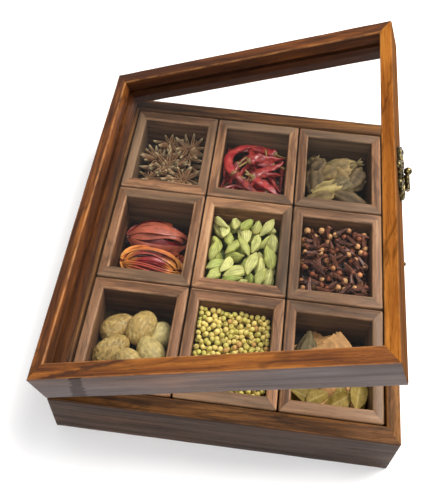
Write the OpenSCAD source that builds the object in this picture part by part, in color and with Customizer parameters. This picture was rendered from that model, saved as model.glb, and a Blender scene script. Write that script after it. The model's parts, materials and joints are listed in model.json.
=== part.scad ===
// Wooden spice box: a low case holding nine lift-out cups, under a hinged lid with a glass pane.
// Frame: millimetres, +Z up, +Y towards the back, +X towards the latch side.
// Origin: centre of the underside of the case. The hinges are on the -X side.
// The model is drawn with the lid ajar, as it is shown at rest.

/* [View] */
// Which sub-part to draw
// How far the lid stands open at rest, in degrees
lid_angle = 21; // [0:1:60]

/* [Case] */
// Outside width, from the hinge side to the latch side
box_w = 200; // [190:1:240]
// Outside depth, from front to back
box_d = 250; // [235:1:300]
// Height of the case without its lid
base_h = 38; // [36:1:60]
// Thickness of the left and right boards, in the case and the lid
side_t = 8; // [7:0.5:10]
// Thickness of the front and back boards, in the case and the lid
end_t = 10.5; // [9:0.5:12]
// Thickness of the bottom panel
panel_t = 4; // [3:0.5:5]
// How far the bottom panel is let into the boards
panel_let = 4; // [2:0.5:5]
// Rounding of the long board edges
edge_r = 0.9; // [0.4:0.1:1.5]
// Rounding of the four upright corners
corner_r = 1.4; // [0.6:0.1:2.5]

/* [Lid] */
// Height of the lid
lid_h = 22; // [20:0.5:30]
// Gap between the closed lid and the case
lid_gap = 0.3; // [0.2:0.05:0.6]
// Thickness of the glass pane
glass_t = 3; // [2:0.5:4]
// Depth of the glass below the top of the lid
glass_drop = 8; // [5:0.5:9]
// How far the glass is let into the rails
glass_let = 3.5; // [2:0.5:4]

/* [Cups] */
// Gap between one cup and the next, and between the cups and the case
cup_gap = 1; // [0.6:0.1:2]
// Thickness of a cup's left and right walls
cup_side_t = 6.7; // [5:0.1:8]
// Thickness of a cup's front and back walls
cup_end_t = 8.2; // [6:0.1:10]
// Thickness of a cup's floor
cup_floor = 3; // [2:0.5:5]
// How far a cup's rim lies below the rim of the case
cup_drop = 1; // [0:0.5:3]
// Rounding of a cup's rim
rim_r = 1.1; // [0.4:0.1:2]
// Rounding of a cup's upright corners
cup_corner_r = 1.6; // [0.6:0.1:3]

/* [Contents] */
// Clearance between the contents and the cup's inner walls
fill_gap = 0.3; // [0.2:0.1:1]
// Height of the mound in the middle above its edge
mound_h = 4; // [2:0.5:6]
// Top of the star anise, above the cup's floor
fill_star_anise = 22; // [8:1:27]
// Top of the dried chillies
fill_red_chilli = 23; // [8:1:27]
// Top of the large ribbed cardamom pods
fill_black_cardamom = 23; // [8:1:27]
// Top of the mace
fill_mace = 20; // [8:1:27]
// Top of the green cardamom pods
fill_green_cardamom = 25; // [8:1:27]
// Top of the cloves
fill_clove = 24; // [8:1:27]
// Top of the nutmegs
fill_nutmeg = 23; // [8:1:27]
// Top of the coriander seeds
fill_coriander = 23; // [8:1:27]
// Top of the bark and leaf pieces
fill_bark_and_leaf = 21; // [8:1:27]

/* [Hinges] */
// Length of a hinge
hinge_len = 32; // [26:1:40]
// Distance of each hinge's middle from the middle of the box
hinge_y = 78; // [60:1:90]
// Height of a hinge leaf on the wood
leaf_h = 15; // [13:0.5:17]
// Thickness of a hinge leaf
leaf_t = 1.2; // [1:0.1:1.4]
// Outside radius of the hinge barrel
barrel_r = 2.2; // [2:0.1:2.3]
// Radius of the hinge pin
pin_r = 1; // [0.8:0.05:1.1]
// Running clearance of the hinge pin, on the radius
pin_gap = 0.05; // [0.02:0.01:0.1]
// Radius of a hinge screw's head
screw_r = 2; // [1.6:0.1:2.4]

/* [Latch] */
// Half width of the latch plate, to the middle of its end lobes
latch_a = 16.6; // [14:0.1:17.4]
// Half height of the latch plate, to the middle of its top and bottom lobes
latch_b = 6.4; // [5.5:0.1:7]
// Radius of a lobe on the latch plate
lobe_r = 3; // [2.4:0.1:3.2]
// Thickness of the latch plate
latch_t = 1; // [0.8:0.1:1.2]
// Distance of the hasp's pin from the lid's outer face
hasp_out = 3.4; // [3.3:0.1:4]
// Distance from the hasp's pin to the middle of its ball end
hasp_len = 9.6; // [9.4:0.1:10.5]
// Radius of the ball on the hasp's end
ball_r = 2.3; // [1.8:0.1:2.3]
// Radius of the eye in the hasp
eye_r = 2.2; // [2:0.1:2.4]
// How far the hasp leans out from the latch plate when it is thrown up, in degrees
hasp_lean = 9.8; // [9:0.1:14]

/* [Hidden] */
$fn = 48;
eps = 0.01;

// Case and cups
inner_w = box_w - 2*side_t;
inner_d = box_d - 2*end_t;
cup_w = (inner_w - 4*cup_gap)/3;
cup_d = (inner_d - 4*cup_gap)/3;
cup_h = base_h - cup_drop - panel_t;
pitch_x = cup_w + cup_gap;
pitch_y = cup_d + cup_gap;
glue_line = 0.015;

// Lid, in its closed place
lid_z0 = base_h + lid_gap;
lid_z1 = lid_z0 + lid_h;
glass_z = lid_z1 - glass_drop - glass_t;

// Hinge line
hinge_off = barrel_r + 0.2;
hinge_x = -box_w/2 - hinge_off;
hinge_z = base_h + lid_gap/2;
knuckle_gap = 0.3;
mid_knuckle = hinge_len/3;
end_knuckle = (hinge_len - mid_knuckle - 2*knuckle_gap)/2;

// Latch
latch_zc = (lid_z0 + lid_z1)/2;
hasp_z = lid_z0 + 2.1;
hasp_x = box_w/2 + hasp_out;
hasp_pin_r = 0.7;
hasp_pin_gap = 0.05;
hasp_knuckle_r = 1.5;
eye_at = 5;
stud_z = hasp_z - eye_at;
catch_zc = base_h - 6.9;

wood_case = [0.36, 0.21, 0.13];
wood_lid = [0.56, 0.31, 0.15];
wood_cup = [0.55, 0.40, 0.30];
wood_floor = [0.33, 0.24, 0.18];
brass_old = [0.42, 0.36, 0.20];
steel_pin = [0.50, 0.48, 0.42];

// ---------- shared shapes ----------

// A closed run of points around a rectangle with rounded corners, each corner with its own radius.
function corner(cx, cy, r, a0, n) = [for (i = [0:n]) [cx + r*cos(a0 + 90*i/n), cy + r*sin(a0 + 90*i/n)]];
function soft_rect(x0, y0, x1, y1, r, n) = concat(
  corner(x1 - r, y1 - r, r, 0, n),
  corner(x0 + r, y1 - r, r, 90, n),
  corner(x0 + r, y0 + r, r, 180, n),
  corner(x1 - r, y0 + r, r, 270, n)
);

// A board along X with its outer face at y = 0, its inner face at y = t, and mitred ends.
// Each end is cut back by g, which leaves a glue line.
module mitred(profile, len, t, other, g = 0) {
  intersection() {
    rotate([90, 0, 90])
      linear_extrude(len, center = true)
        polygon(profile);
    linear_extrude(400, center = true)
      polygon([[-len/2 + g, 0], [len/2 - g, 0], [len/2 - other - g, t], [-len/2 + other + g, t]]);
  }
}

// The upright prism that rounds the four corners of the case and the lid.
module corner_prism() {
  linear_extrude(400, center = true)
    polygon(soft_rect(-box_w/2, -box_d/2, box_w/2, box_d/2, corner_r, 3));
}

module at_front() {
  translate([0, -box_d/2, 0]) children();
}

module at_back() {
  translate([0, box_d/2, 0]) rotate([0, 0, 180]) children();
}

module at_left() {
  translate([-box_w/2, 0, 0]) rotate([0, 0, -90]) children();
}

module at_right() {
  translate([box_w/2, 0, 0]) rotate([0, 0, 90]) children();
}

// Puts a piece drawn in the closed lid into the lid's open place.
module in_lid() {
  translate([hinge_x, 0, hinge_z])
    rotate([0, -lid_angle, 0])
      translate([-hinge_x, 0, -hinge_z])
        children();
}

// ---------- case ----------

module case_board(len, t, other) {
  difference() {
    mitred(soft_rect(0, 0, t, base_h, edge_r, 3), len, t, other);
    translate([-len/2 - 1, t - panel_let, -1])
      cube([len + 2, panel_let + 1, panel_t + 1]);
  }
}

// Blind hole for a screw or nail in the left or right face of the box.
module side_hole(side, y, z, r, depth) {
  translate([side*box_w/2, y, z])
    rotate([0, -side*90, 0])
      translate([0, 0, -1])
        cylinder(h = depth + 1, r = r);
}

module case_front_board() {
  color(wood_case)
    intersection() {
      at_front() case_board(box_w, end_t, side_t);
      corner_prism();
    }
}

module case_back_board() {
  color(wood_case)
    intersection() {
      at_back() case_board(box_w, end_t, side_t);
      corner_prism();
    }
}

module case_left_board() {
  color(wood_case)
    difference() {
      intersection() {
        at_left() case_board(box_d, side_t, end_t);
        corner_prism();
      }
      for (s = [-1, 1], d = [-1, 1])
        side_hole(-1, s*hinge_y + d*screw_dy, hinge_z - screw_dz, shank_r, shank_l);
    }
}

module case_right_board() {
  color(wood_case)
    difference() {
      intersection() {
        at_right() case_board(box_d, side_t, end_t);
        corner_prism();
      }
      for (s = [-1, 1])
        side_hole(1, s*catch_nail_y, catch_zc, nail_shank_r, nail_l);
      side_hole(1, 0, stud_z, stud_r, stud_in);
    }
}

module case_bottom_panel() {
  color(wood_floor)
    translate([-inner_w/2 - panel_let, -inner_d/2 - panel_let, 0])
      cube([inner_w + 2*panel_let, inner_d + 2*panel_let, panel_t]);
}

// ---------- lid ----------

module lid_rail(len, t, other) {
  difference() {
    translate([0, 0, lid_z0])
      mitred(soft_rect(0, 0, t, lid_h, edge_r, 3), len, t, other);
    translate([-len/2 - 1, t - glass_let, glass_z])
      cube([len + 2, glass_let + 1, glass_t]);
  }
}

module lid_front_rail() {
  color(wood_lid)
    in_lid()
      intersection() {
        at_front() lid_rail(box_w, end_t, side_t);
        corner_prism();
      }
}

module lid_back_rail() {
  color(wood_lid)
    in_lid()
      intersection() {
        at_back() lid_rail(box_w, end_t, side_t);
        corner_prism();
      }
}

module lid_left_rail() {
  color(wood_lid)
    in_lid()
      difference() {
        intersection() {
          at_left() lid_rail(box_d, side_t, end_t);
          corner_prism();
        }
        for (s = [-1, 1], d = [-1, 1])
          side_hole(-1, s*hinge_y + d*screw_dy, hinge_z + screw_dz, shank_r, shank_l);
      }
}

module lid_right_rail() {
  color(wood_lid)
    in_lid()
      difference() {
        intersection() {
          at_right() lid_rail(box_d, side_t, end_t);
          corner_prism();
        }
        for (s = [-1, 1])
          side_hole(1, s*latch_nail_y, latch_zc, nail_shank_r, nail_l);
      }
}

module lid_glass() {
  color([0.80, 0.90, 0.92, 0.35])
    in_lid()
      translate([-inner_w/2 - glass_let, -inner_d/2 - glass_let, glass_z])
        cube([inner_w + 2*glass_let, inner_d + 2*glass_let, glass_t]);
}

// ---------- hinges ----------

screw_dy = 9.5;
screw_dz = 9.2;
shank_r = 0.9;
shank_l = 4.6;

// A cylinder along Y about the hinge line, from y0 to y1.
module along_hinge(y0, y1, r) {
  translate([hinge_x, y1, hinge_z])
    rotate([90, 0, 0])
      cylinder(h = y1 - y0, r = r);
}

// The flat of a leaf: up = 1 on the lid, -1 on the case.
module leaf_flat(yc, up) {
  z0 = up > 0 ? hinge_z + 0.45 : hinge_z - leaf_h;
  translate([-box_w/2 - leaf_t, yc - hinge_len/2, z0])
    cube([leaf_t, hinge_len, leaf_h - 0.45]);
}

module leaf_holes(yc, up) {
  for (d = [-1, 1])
    translate([-box_w/2 - leaf_t - 1, yc + d*screw_dy, hinge_z + up*screw_dz])
      rotate([0, 90, 0])
        cylinder(h = leaf_t + 2, r = shank_r);
}

module case_leaf(yc) {
  m = mid_knuckle/2 + knuckle_gap;
  difference() {
    union() {
      difference() {
        leaf_flat(yc, -1);
        along_hinge(yc - m, yc + m, barrel_r + 0.35);
      }
      along_hinge(yc - hinge_len/2, yc - hinge_len/2 + end_knuckle, barrel_r);
      along_hinge(yc + hinge_len/2 - end_knuckle, yc + hinge_len/2, barrel_r);
    }
    along_hinge(yc - hinge_len, yc + hinge_len, pin_r + pin_gap);
    leaf_holes(yc, -1);
  }
}

module lid_leaf(yc) {
  m = mid_knuckle/2;
  e = m + knuckle_gap;
  difference() {
    union() {
      difference() {
        leaf_flat(yc, 1);
        along_hinge(yc - hinge_len, yc - m, barrel_r + 0.35);
        along_hinge(yc + m, yc + hinge_len, barrel_r + 0.35);
      }
      along_hinge(yc - m, yc + m, barrel_r);
    }
    along_hinge(yc - hinge_len, yc + hinge_len, pin_r + pin_gap);
    leaf_holes(yc, 1);
  }
}

// The pin has a small flat head at each end, clear of the knuckles.
module hinge_pin(yc) {
  h = hinge_len/2;
  along_hinge(yc - h - 0.2, yc + h + 0.2, pin_r);
  along_hinge(yc - h - 1, yc - h - 0.2, pin_r + 0.7);
  along_hinge(yc + h + 0.2, yc + h + 1, pin_r + 0.7);
}

// A round-headed screw or nail driven into the left or right face.
module side_fastener(side, y, z, proud, head_r, head_h, shaft_r, depth) {
  translate([side*(box_w/2 + proud), y, z])
    rotate([0, side*90, 0])
      union() {
        intersection() {
          translate([0, 0, head_h - (head_r*head_r + head_h*head_h)/(2*head_h)])
            sphere(r = (head_r*head_r + head_h*head_h)/(2*head_h));
          cylinder(h = head_h + 1, r = head_r + 1);
        }
        translate([0, 0, -depth - proud])
          cylinder(h = depth + proud + 0.2, r = shaft_r);
      }
}

module hinge_front_case_leaf() {
  color(brass_old) case_leaf(-hinge_y);
}

module hinge_back_case_leaf() {
  color(brass_old) case_leaf(hinge_y);
}

module hinge_front_lid_leaf() {
  color(brass_old) in_lid() lid_leaf(-hinge_y);
}

module hinge_back_lid_leaf() {
  color(brass_old) in_lid() lid_leaf(hinge_y);
}

module hinge_front_pin() {
  color(steel_pin) hinge_pin(-hinge_y);
}

module hinge_back_pin() {
  color(steel_pin) hinge_pin(hinge_y);
}

module case_hinge_screws() {
  color(steel_pin)
    for (s = [-1, 1], d = [-1, 1])
      side_fastener(-1, s*hinge_y + d*screw_dy, hinge_z - screw_dz, leaf_t, screw_r, 0.9, shank_r, shank_l - 0.3);
}

module lid_hinge_screws() {
  color(steel_pin)
    in_lid()
      for (s = [-1, 1], d = [-1, 1])
        side_fastener(-1, s*hinge_y + d*screw_dy, hinge_z + screw_dz, leaf_t, screw_r, 0.9, shank_r, shank_l - 0.3);
}

// ---------- latch ----------

latch_nail_y = latch_a - 1;
catch_nail_y = 6.2;
nail_shank_r = 0.6;
nail_l = 4.6;
stud_r = 1.1;
stud_in = 4.2;

// A disc on the right face, standing out from its surface.
module face_disc(y, z, r, t) {
  translate([box_w/2, y, z])
    rotate([0, 90, 0])
      cylinder(h = t, r = r);
}

// A scalloped plate: eight lobes set around an oval body.
module scalloped(zc, a, b, r, t) {
  for (y = [-0.52*a, 0, 0.52*a])
    face_disc(y, zc, b, t);
  for (i = [0:7])
    face_disc(a*cos(45*i), zc + b*sin(45*i), r, t);
}

// A cylinder along Y about the hasp's pin.
module along_hasp(y0, y1, r) {
  translate([hasp_x, y1, hasp_z])
    rotate([90, 0, 0])
      cylinder(h = y1 - y0, r = r);
}

module latch_plate() {
  color(brass_old)
    in_lid()
      difference() {
        union() {
          scalloped(latch_zc, latch_a, latch_b, lobe_r, latch_t);
          face_disc(0, latch_zc + 0.6, 2.5, 2.6);
          translate([box_w/2, -5.2, hasp_z - 1.1])
            cube([latch_t, 10.4, 5]);
          for (s = [-1, 1]) {
            translate([box_w/2, s*3.9 - 1.3, hasp_z - 1.1])
              cube([hasp_out, 2.6, 2.2]);
            along_hasp(s*3.9 - 1.3, s*3.9 + 1.3, hasp_knuckle_r);
          }
        }
        along_hasp(-10, 10, hasp_pin_r + hasp_pin_gap);
        for (s = [-1, 1])
          translate([-1, 0, 0])
            face_disc(s*latch_nail_y, latch_zc, nail_shank_r, latch_t + 2);
      }
}

module latch_nails() {
  color(brass_old)
    in_lid()
      for (s = [-1, 1])
        side_fastener(1, s*latch_nail_y, latch_zc, latch_t, 2.7, 2.2, nail_shank_r, nail_l - 0.3);
}

module hasp_pin() {
  color(steel_pin)
    in_lid() {
      along_hasp(-5.4, 5.4, hasp_pin_r);
      along_hasp(5.4, 6, hasp_pin_r + 0.4);
      along_hasp(-6, -5.4, hasp_pin_r + 0.4);
    }
}

// The hasp hanging straight down from its pin, then thrown up against the plate.
module hasp() {
  color(brass_old)
    in_lid()
      translate([hasp_x, 0, hasp_z])
        rotate([0, hasp_lean - 180, 0])
          difference() {
            union() {
              translate([0, 2.4, 0])
                rotate([90, 0, 0])
                  cylinder(h = 4.8, r = hasp_knuckle_r);
              translate([-0.5, -2.1, -2.6])
                cube([1, 4.2, 2.6]);
              translate([-0.5, 0, -eye_at])
                rotate([0, 90, 0])
                  cylinder(h = 1, r = 3.9);
              translate([0, 0, -hasp_len])
                sphere(r = ball_r);
            }
            translate([0, 10, 0])
              rotate([90, 0, 0])
                cylinder(h = 20, r = hasp_pin_r + hasp_pin_gap);
            translate([-2, 0, -eye_at])
              rotate([0, 90, 0])
                cylinder(h = 4, r = eye_r);
          }
}

module catch_plate() {
  color(brass_old)
    difference() {
      scalloped(catch_zc, 7, 4.4, 2, 0.8);
      for (s = [-1, 1])
        translate([-1, 0, 0])
          face_disc(s*catch_nail_y, catch_zc, nail_shank_r, 3);
      translate([-1, 0, 0])
        face_disc(0, stud_z, stud_r, 3);
    }
}

module catch_nails() {
  color(brass_old)
    for (s = [-1, 1])
      side_fastener(1, s*catch_nail_y, catch_zc, 0.8, 1.7, 1.1, nail_shank_r, nail_l - 0.3);
}

module catch_stud() {
  color(brass_old) {
    translate([box_w/2 - stud_in, 0, stud_z])
      rotate([0, 90, 0])
        cylinder(h = stud_in + 4.8, r = stud_r);
    translate([box_w/2 + 5.2, 0, stud_z])
      sphere(r = 1.6);
  }
}

// ---------- cups ----------

// The place of a cup: column 0 to 2 from the left, row 0 to 2 from the front.
module at_cup(col, row) {
  translate([(col - 1)*pitch_x, (row - 1)*pitch_y, panel_t]) children();
}

// Four mitred boards.
module cup_walls(col, row) {
  at_cup(col, row)
    for (i = [0:3]) {
      len = i%2 == 0 ? cup_w : cup_d;
      off = i%2 == 0 ? cup_d/2 : cup_w/2;
      t = i%2 == 0 ? cup_end_t : cup_side_t;
      other = i%2 == 0 ? cup_side_t : cup_end_t;
      intersection() {
        rotate([0, 0, 90*i])
          translate([0, -off, 0])
            mitred(soft_rect(0, 0, t, cup_h, rim_r, 3), len, t, other, glue_line);
        linear_extrude(200, center = true)
          polygon(soft_rect(-cup_w/2, -cup_d/2, cup_w/2, cup_d/2, cup_corner_r, 3));
      }
    }
}

module cup_bottom(col, row) {
  at_cup(col, row)
    translate([-cup_w/2 + cup_side_t, -cup_d/2 + cup_end_t, 0.4])
      cube([cup_w - 2*cup_side_t, cup_d - 2*cup_end_t, cup_floor - 0.4]);
}

// A loose filling: flat against the floor, with a low mound on top.
module filling(col, row, top) {
  w = cup_w - 2*cup_side_t - 2*fill_gap;
  d = cup_d - 2*cup_end_t - 2*fill_gap;
  half = norm([w, d])/2;
  ball = (half*half + mound_h*mound_h)/(2*mound_h);
  at_cup(col, row)
    intersection() {
      translate([-w/2, -d/2, cup_floor])
        cube([w, d, cup_h]);
      translate([0, 0, cup_floor + top - ball])
        sphere(r = ball, $fn = 120);
    }
}

module cup_back_left_walls() {
  color(wood_cup) cup_walls(0, 2);
}

module cup_back_left_floor() {
  color(wood_floor) cup_bottom(0, 2);
}

module spice_star_anise() {
  color([0.36, 0.20, 0.12]) filling(0, 2, fill_star_anise);
}

module cup_back_mid_walls() {
  color(wood_cup) cup_walls(1, 2);
}

module cup_back_mid_floor() {
  color(wood_floor) cup_bottom(1, 2);
}

module spice_red_chilli() {
  color([0.55, 0.08, 0.06]) filling(1, 2, fill_red_chilli);
}

module cup_back_right_walls() {
  color(wood_cup) cup_walls(2, 2);
}

module cup_back_right_floor() {
  color(wood_floor) cup_bottom(2, 2);
}

module spice_black_cardamom() {
  color([0.42, 0.38, 0.26]) filling(2, 2, fill_black_cardamom);
}

module cup_mid_left_walls() {
  color(wood_cup) cup_walls(0, 1);
}

module cup_mid_left_floor() {
  color(wood_floor) cup_bottom(0, 1);
}

module spice_mace() {
  color([0.66, 0.22, 0.12]) filling(0, 1, fill_mace);
}

module cup_mid_mid_walls() {
  color(wood_cup) cup_walls(1, 1);
}

module cup_mid_mid_floor() {
  color(wood_floor) cup_bottom(1, 1);
}

module spice_green_cardamom() {
  color([0.55, 0.62, 0.30]) filling(1, 1, fill_green_cardamom);
}

module cup_mid_right_walls() {
  color(wood_cup) cup_walls(2, 1);
}

module cup_mid_right_floor() {
  color(wood_floor) cup_bottom(2, 1);
}

module spice_clove() {
  color([0.40, 0.20, 0.12]) filling(2, 1, fill_clove);
}

module cup_front_left_walls() {
  color(wood_cup) cup_walls(0, 0);
}

module cup_front_left_floor() {
  color(wood_floor) cup_bottom(0, 0);
}

module spice_nutmeg() {
  color([0.60, 0.48, 0.30]) filling(0, 0, fill_nutmeg);
}

module cup_front_mid_walls() {
  color(wood_cup) cup_walls(1, 0);
}

module cup_front_mid_floor() {
  color(wood_floor) cup_bottom(1, 0);
}

module spice_coriander() {
  color([0.66, 0.58, 0.28]) filling(1, 0, fill_coriander);
}

module cup_front_right_walls() {
  color(wood_cup) cup_walls(2, 0);
}

module cup_front_right_floor() {
  color(wood_floor) cup_bottom(2, 0);
}

module spice_bark_and_leaf() {
  color([0.55, 0.42, 0.25]) filling(2, 0, fill_bark_and_leaf);
}

// ---------- drawing ----------

case_front_board();
case_back_board();
case_left_board();
case_right_board();
case_bottom_panel();
lid_front_rail();
lid_back_rail();
lid_left_rail();
lid_right_rail();
lid_glass();
hinge_front_case_leaf();
hinge_front_lid_leaf();
hinge_front_pin();
hinge_back_case_leaf();
hinge_back_lid_leaf();
hinge_back_pin();
case_hinge_screws();
lid_hinge_screws();
latch_plate();
latch_nails();
hasp_pin();
hasp();
catch_plate();
catch_nails();
catch_stud();
cup_back_left_walls();
cup_back_left_floor();
spice_star_anise();
cup_back_mid_walls();
cup_back_mid_floor();
spice_red_chilli();
cup_back_right_walls();
cup_back_right_floor();
spice_black_cardamom();
cup_mid_left_walls();
cup_mid_left_floor();
spice_mace();
cup_mid_mid_walls();
cup_mid_mid_floor();
spice_green_cardamom();
cup_mid_right_walls();
cup_mid_right_floor();
spice_clove();
cup_front_left_walls();
cup_front_left_floor();
spice_nutmeg();
cup_front_mid_walls();
cup_front_mid_floor();
spice_coriander();
cup_front_right_walls();
cup_front_right_floor();
spice_bark_and_leaf();
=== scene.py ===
"""Looks for the wooden spice box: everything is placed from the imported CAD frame, in metres."""
import json
import math

import bpy
import numpy as np
from mathutils import Matrix, Vector, noise


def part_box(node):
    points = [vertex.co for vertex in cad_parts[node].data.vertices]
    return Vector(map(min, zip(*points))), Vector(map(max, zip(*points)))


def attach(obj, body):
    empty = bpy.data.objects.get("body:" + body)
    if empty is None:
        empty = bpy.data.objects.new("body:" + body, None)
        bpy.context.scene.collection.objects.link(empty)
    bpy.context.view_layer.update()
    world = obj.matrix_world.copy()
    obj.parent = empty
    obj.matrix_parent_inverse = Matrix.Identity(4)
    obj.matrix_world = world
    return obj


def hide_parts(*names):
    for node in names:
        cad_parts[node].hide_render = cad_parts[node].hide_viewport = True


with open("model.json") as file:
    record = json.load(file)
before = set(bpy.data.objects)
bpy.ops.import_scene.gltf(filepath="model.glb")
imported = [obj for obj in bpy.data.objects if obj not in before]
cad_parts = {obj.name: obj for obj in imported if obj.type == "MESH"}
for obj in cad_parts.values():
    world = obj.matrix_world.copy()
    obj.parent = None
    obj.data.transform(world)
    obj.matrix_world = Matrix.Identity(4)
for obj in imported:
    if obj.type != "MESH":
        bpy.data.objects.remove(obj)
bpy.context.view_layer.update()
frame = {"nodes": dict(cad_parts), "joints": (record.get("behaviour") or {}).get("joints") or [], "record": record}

MM = 0.001
SCENE = bpy.context.scene

# ---------------------------------------------------------------- camera

cam = bpy.data.objects.new("camera", bpy.data.cameras.new("camera"))
SCENE.collection.objects.link(cam)
cam.location = (0.00572, -0.28355, 0.4257)
cam.rotation_euler = [math.radians(a) for a in (36.537, -1.46, 7.208)]
cam.data.sensor_width = 36
cam.data.lens = 52.357
cam.data.shift_x = 0.0123
cam.data.shift_y = -0.028
cam.data.clip_start = 0.01
cam.data.clip_end = 20
SCENE.camera = cam
SCENE.view_settings.view_transform = "Standard"
SCENE.view_settings.look = "None"

# ---------------------------------------------------------------- the frame's numbers

JOINTS = {j["name"]: j for j in frame["joints"]}
HINGE = Vector(JOINTS["lid_hinge"]["pos_m"])
OPEN = math.radians(-JOINTS["lid_hinge"]["range_deg"][0])
LID_AT = (
    Matrix.Translation(HINGE)
    @ Matrix.Rotation(OPEN, 4, Vector(JOINTS["lid_hinge"]["axis"]))
    @ Matrix.Translation(-HINGE)
)
LID_BACK = LID_AT.inverted()


def closed_box(node):
    """A lid node's box with the lid shut."""
    pts = [LID_BACK @ v.co for v in frame["nodes"][node].data.vertices]
    return (
        Vector([min(p[i] for p in pts) for i in range(3)]),
        Vector([max(p[i] for p in pts) for i in range(3)]),
    )


X0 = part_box("case_left_board")[0].x
X1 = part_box("case_right_board")[1].x
Y0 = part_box("case_front_board")[0].y
Y1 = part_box("case_back_board")[1].y
BOX_W, BOX_D = (X1 - X0) / MM, (Y1 - Y0) / MM
lo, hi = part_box("case_left_board")
SIDE_T, BASE_H = (hi.x - lo.x) / MM, (hi.z - lo.z) / MM
lo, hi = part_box("case_front_board")
END_T = (hi.y - lo.y) / MM
lo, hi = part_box("case_bottom_panel")
PANEL_T = (hi.z - lo.z) / MM
PANEL_LET = ((hi.x - lo.x) / MM - (BOX_W - 2 * SIDE_T)) / 2
lo, hi = closed_box("lid_left_rail")
LID_Z, LID_H = lo.z / MM, (hi.z - lo.z) / MM
lo, hi = closed_box("lid_glass")
GLASS_Z, GLASS_T = lo.z / MM - LID_Z, (hi.z - lo.z) / MM
GLASS_LET = ((hi.x - lo.x) / MM - (BOX_W - 2 * SIDE_T)) / 2

# ---------------------------------------------------------------- node helpers


class Nodes:
    """A short way to write a node tree."""

    def __init__(self, name):
        self.mat = bpy.data.materials.new(name)
        self.mat.use_nodes = True
        self.tree = self.mat.node_tree
        self.tree.nodes.clear()
        self.out = self.tree.nodes.new("ShaderNodeOutputMaterial")

    def add(self, kind, values=None, **props):
        n = self.tree.nodes.new("ShaderNode" + kind)
        for k, v in props.items():
            setattr(n, k, v)
        for k, v in (values or {}).items():
            if isinstance(v, bpy.types.NodeSocket):
                self.tree.links.new(v, n.inputs[k])
            else:
                n.inputs[k].default_value = v
        return n

    def math(self, op, a, b=0.0, clamp=False):
        n = self.add("Math", {0: a, 1: b}, operation=op, use_clamp=clamp)
        return n.outputs[0]

    def ramp(self, fac, stops, interpolation="LINEAR"):
        n = self.add("ValToRGB", {0: fac})
        n.color_ramp.interpolation = interpolation
        e = n.color_ramp.elements
        while len(e) < len(stops):
            e.new(0.5)
        for el, (p, c) in zip(e, stops):
            el.position = p
            el.color = (*c, 1) if len(c) == 3 else c
        return n.outputs[0]

    def remap(self, v, a, b, c, d, smooth=False):
        n = self.add("MapRange", {0: v, 1: a, 2: b, 3: c, 4: d})
        if smooth:
            n.interpolation_type = "SMOOTHSTEP"
        return n.outputs[0]

    def noise(self, vec, scale, detail=3.0, rough=0.5, distortion=0.0):
        n = self.add(
            "TexNoise",
            {"Vector": vec, "Scale": scale, "Detail": detail, "Roughness": rough, "Distortion": distortion},
        )
        return n.outputs["Fac"]

    def stretch(self, vec, scale, loc=(0, 0, 0)):
        return self.add("Mapping", {"Vector": vec, "Scale": scale, "Location": loc}).outputs[0]

    def mix(self, fac, a, b, blend="MIX"):
        n = self.add("Mix", data_type="RGBA", blend_type=blend, clamp_factor=True)
        for i, v in ((0, fac), (6, a), (7, b)):
            if isinstance(v, bpy.types.NodeSocket):
                self.tree.links.new(v, n.inputs[i])
            else:
                n.inputs[i].default_value = v if i == 0 else (*v, 1)
        return n.outputs[2]

    def finish(self, values, normal=None):
        p = self.add("BsdfPrincipled", values)
        if normal is not None:
            self.tree.links.new(normal, p.inputs["Normal"])
        self.tree.links.new(p.outputs[0], self.out.inputs[0])
        return self.mat

    def bump(self, height, strength, distance):
        return self.add("Bump", {"Height": height, "Strength": strength, "Distance": distance}).outputs[0]


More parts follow.
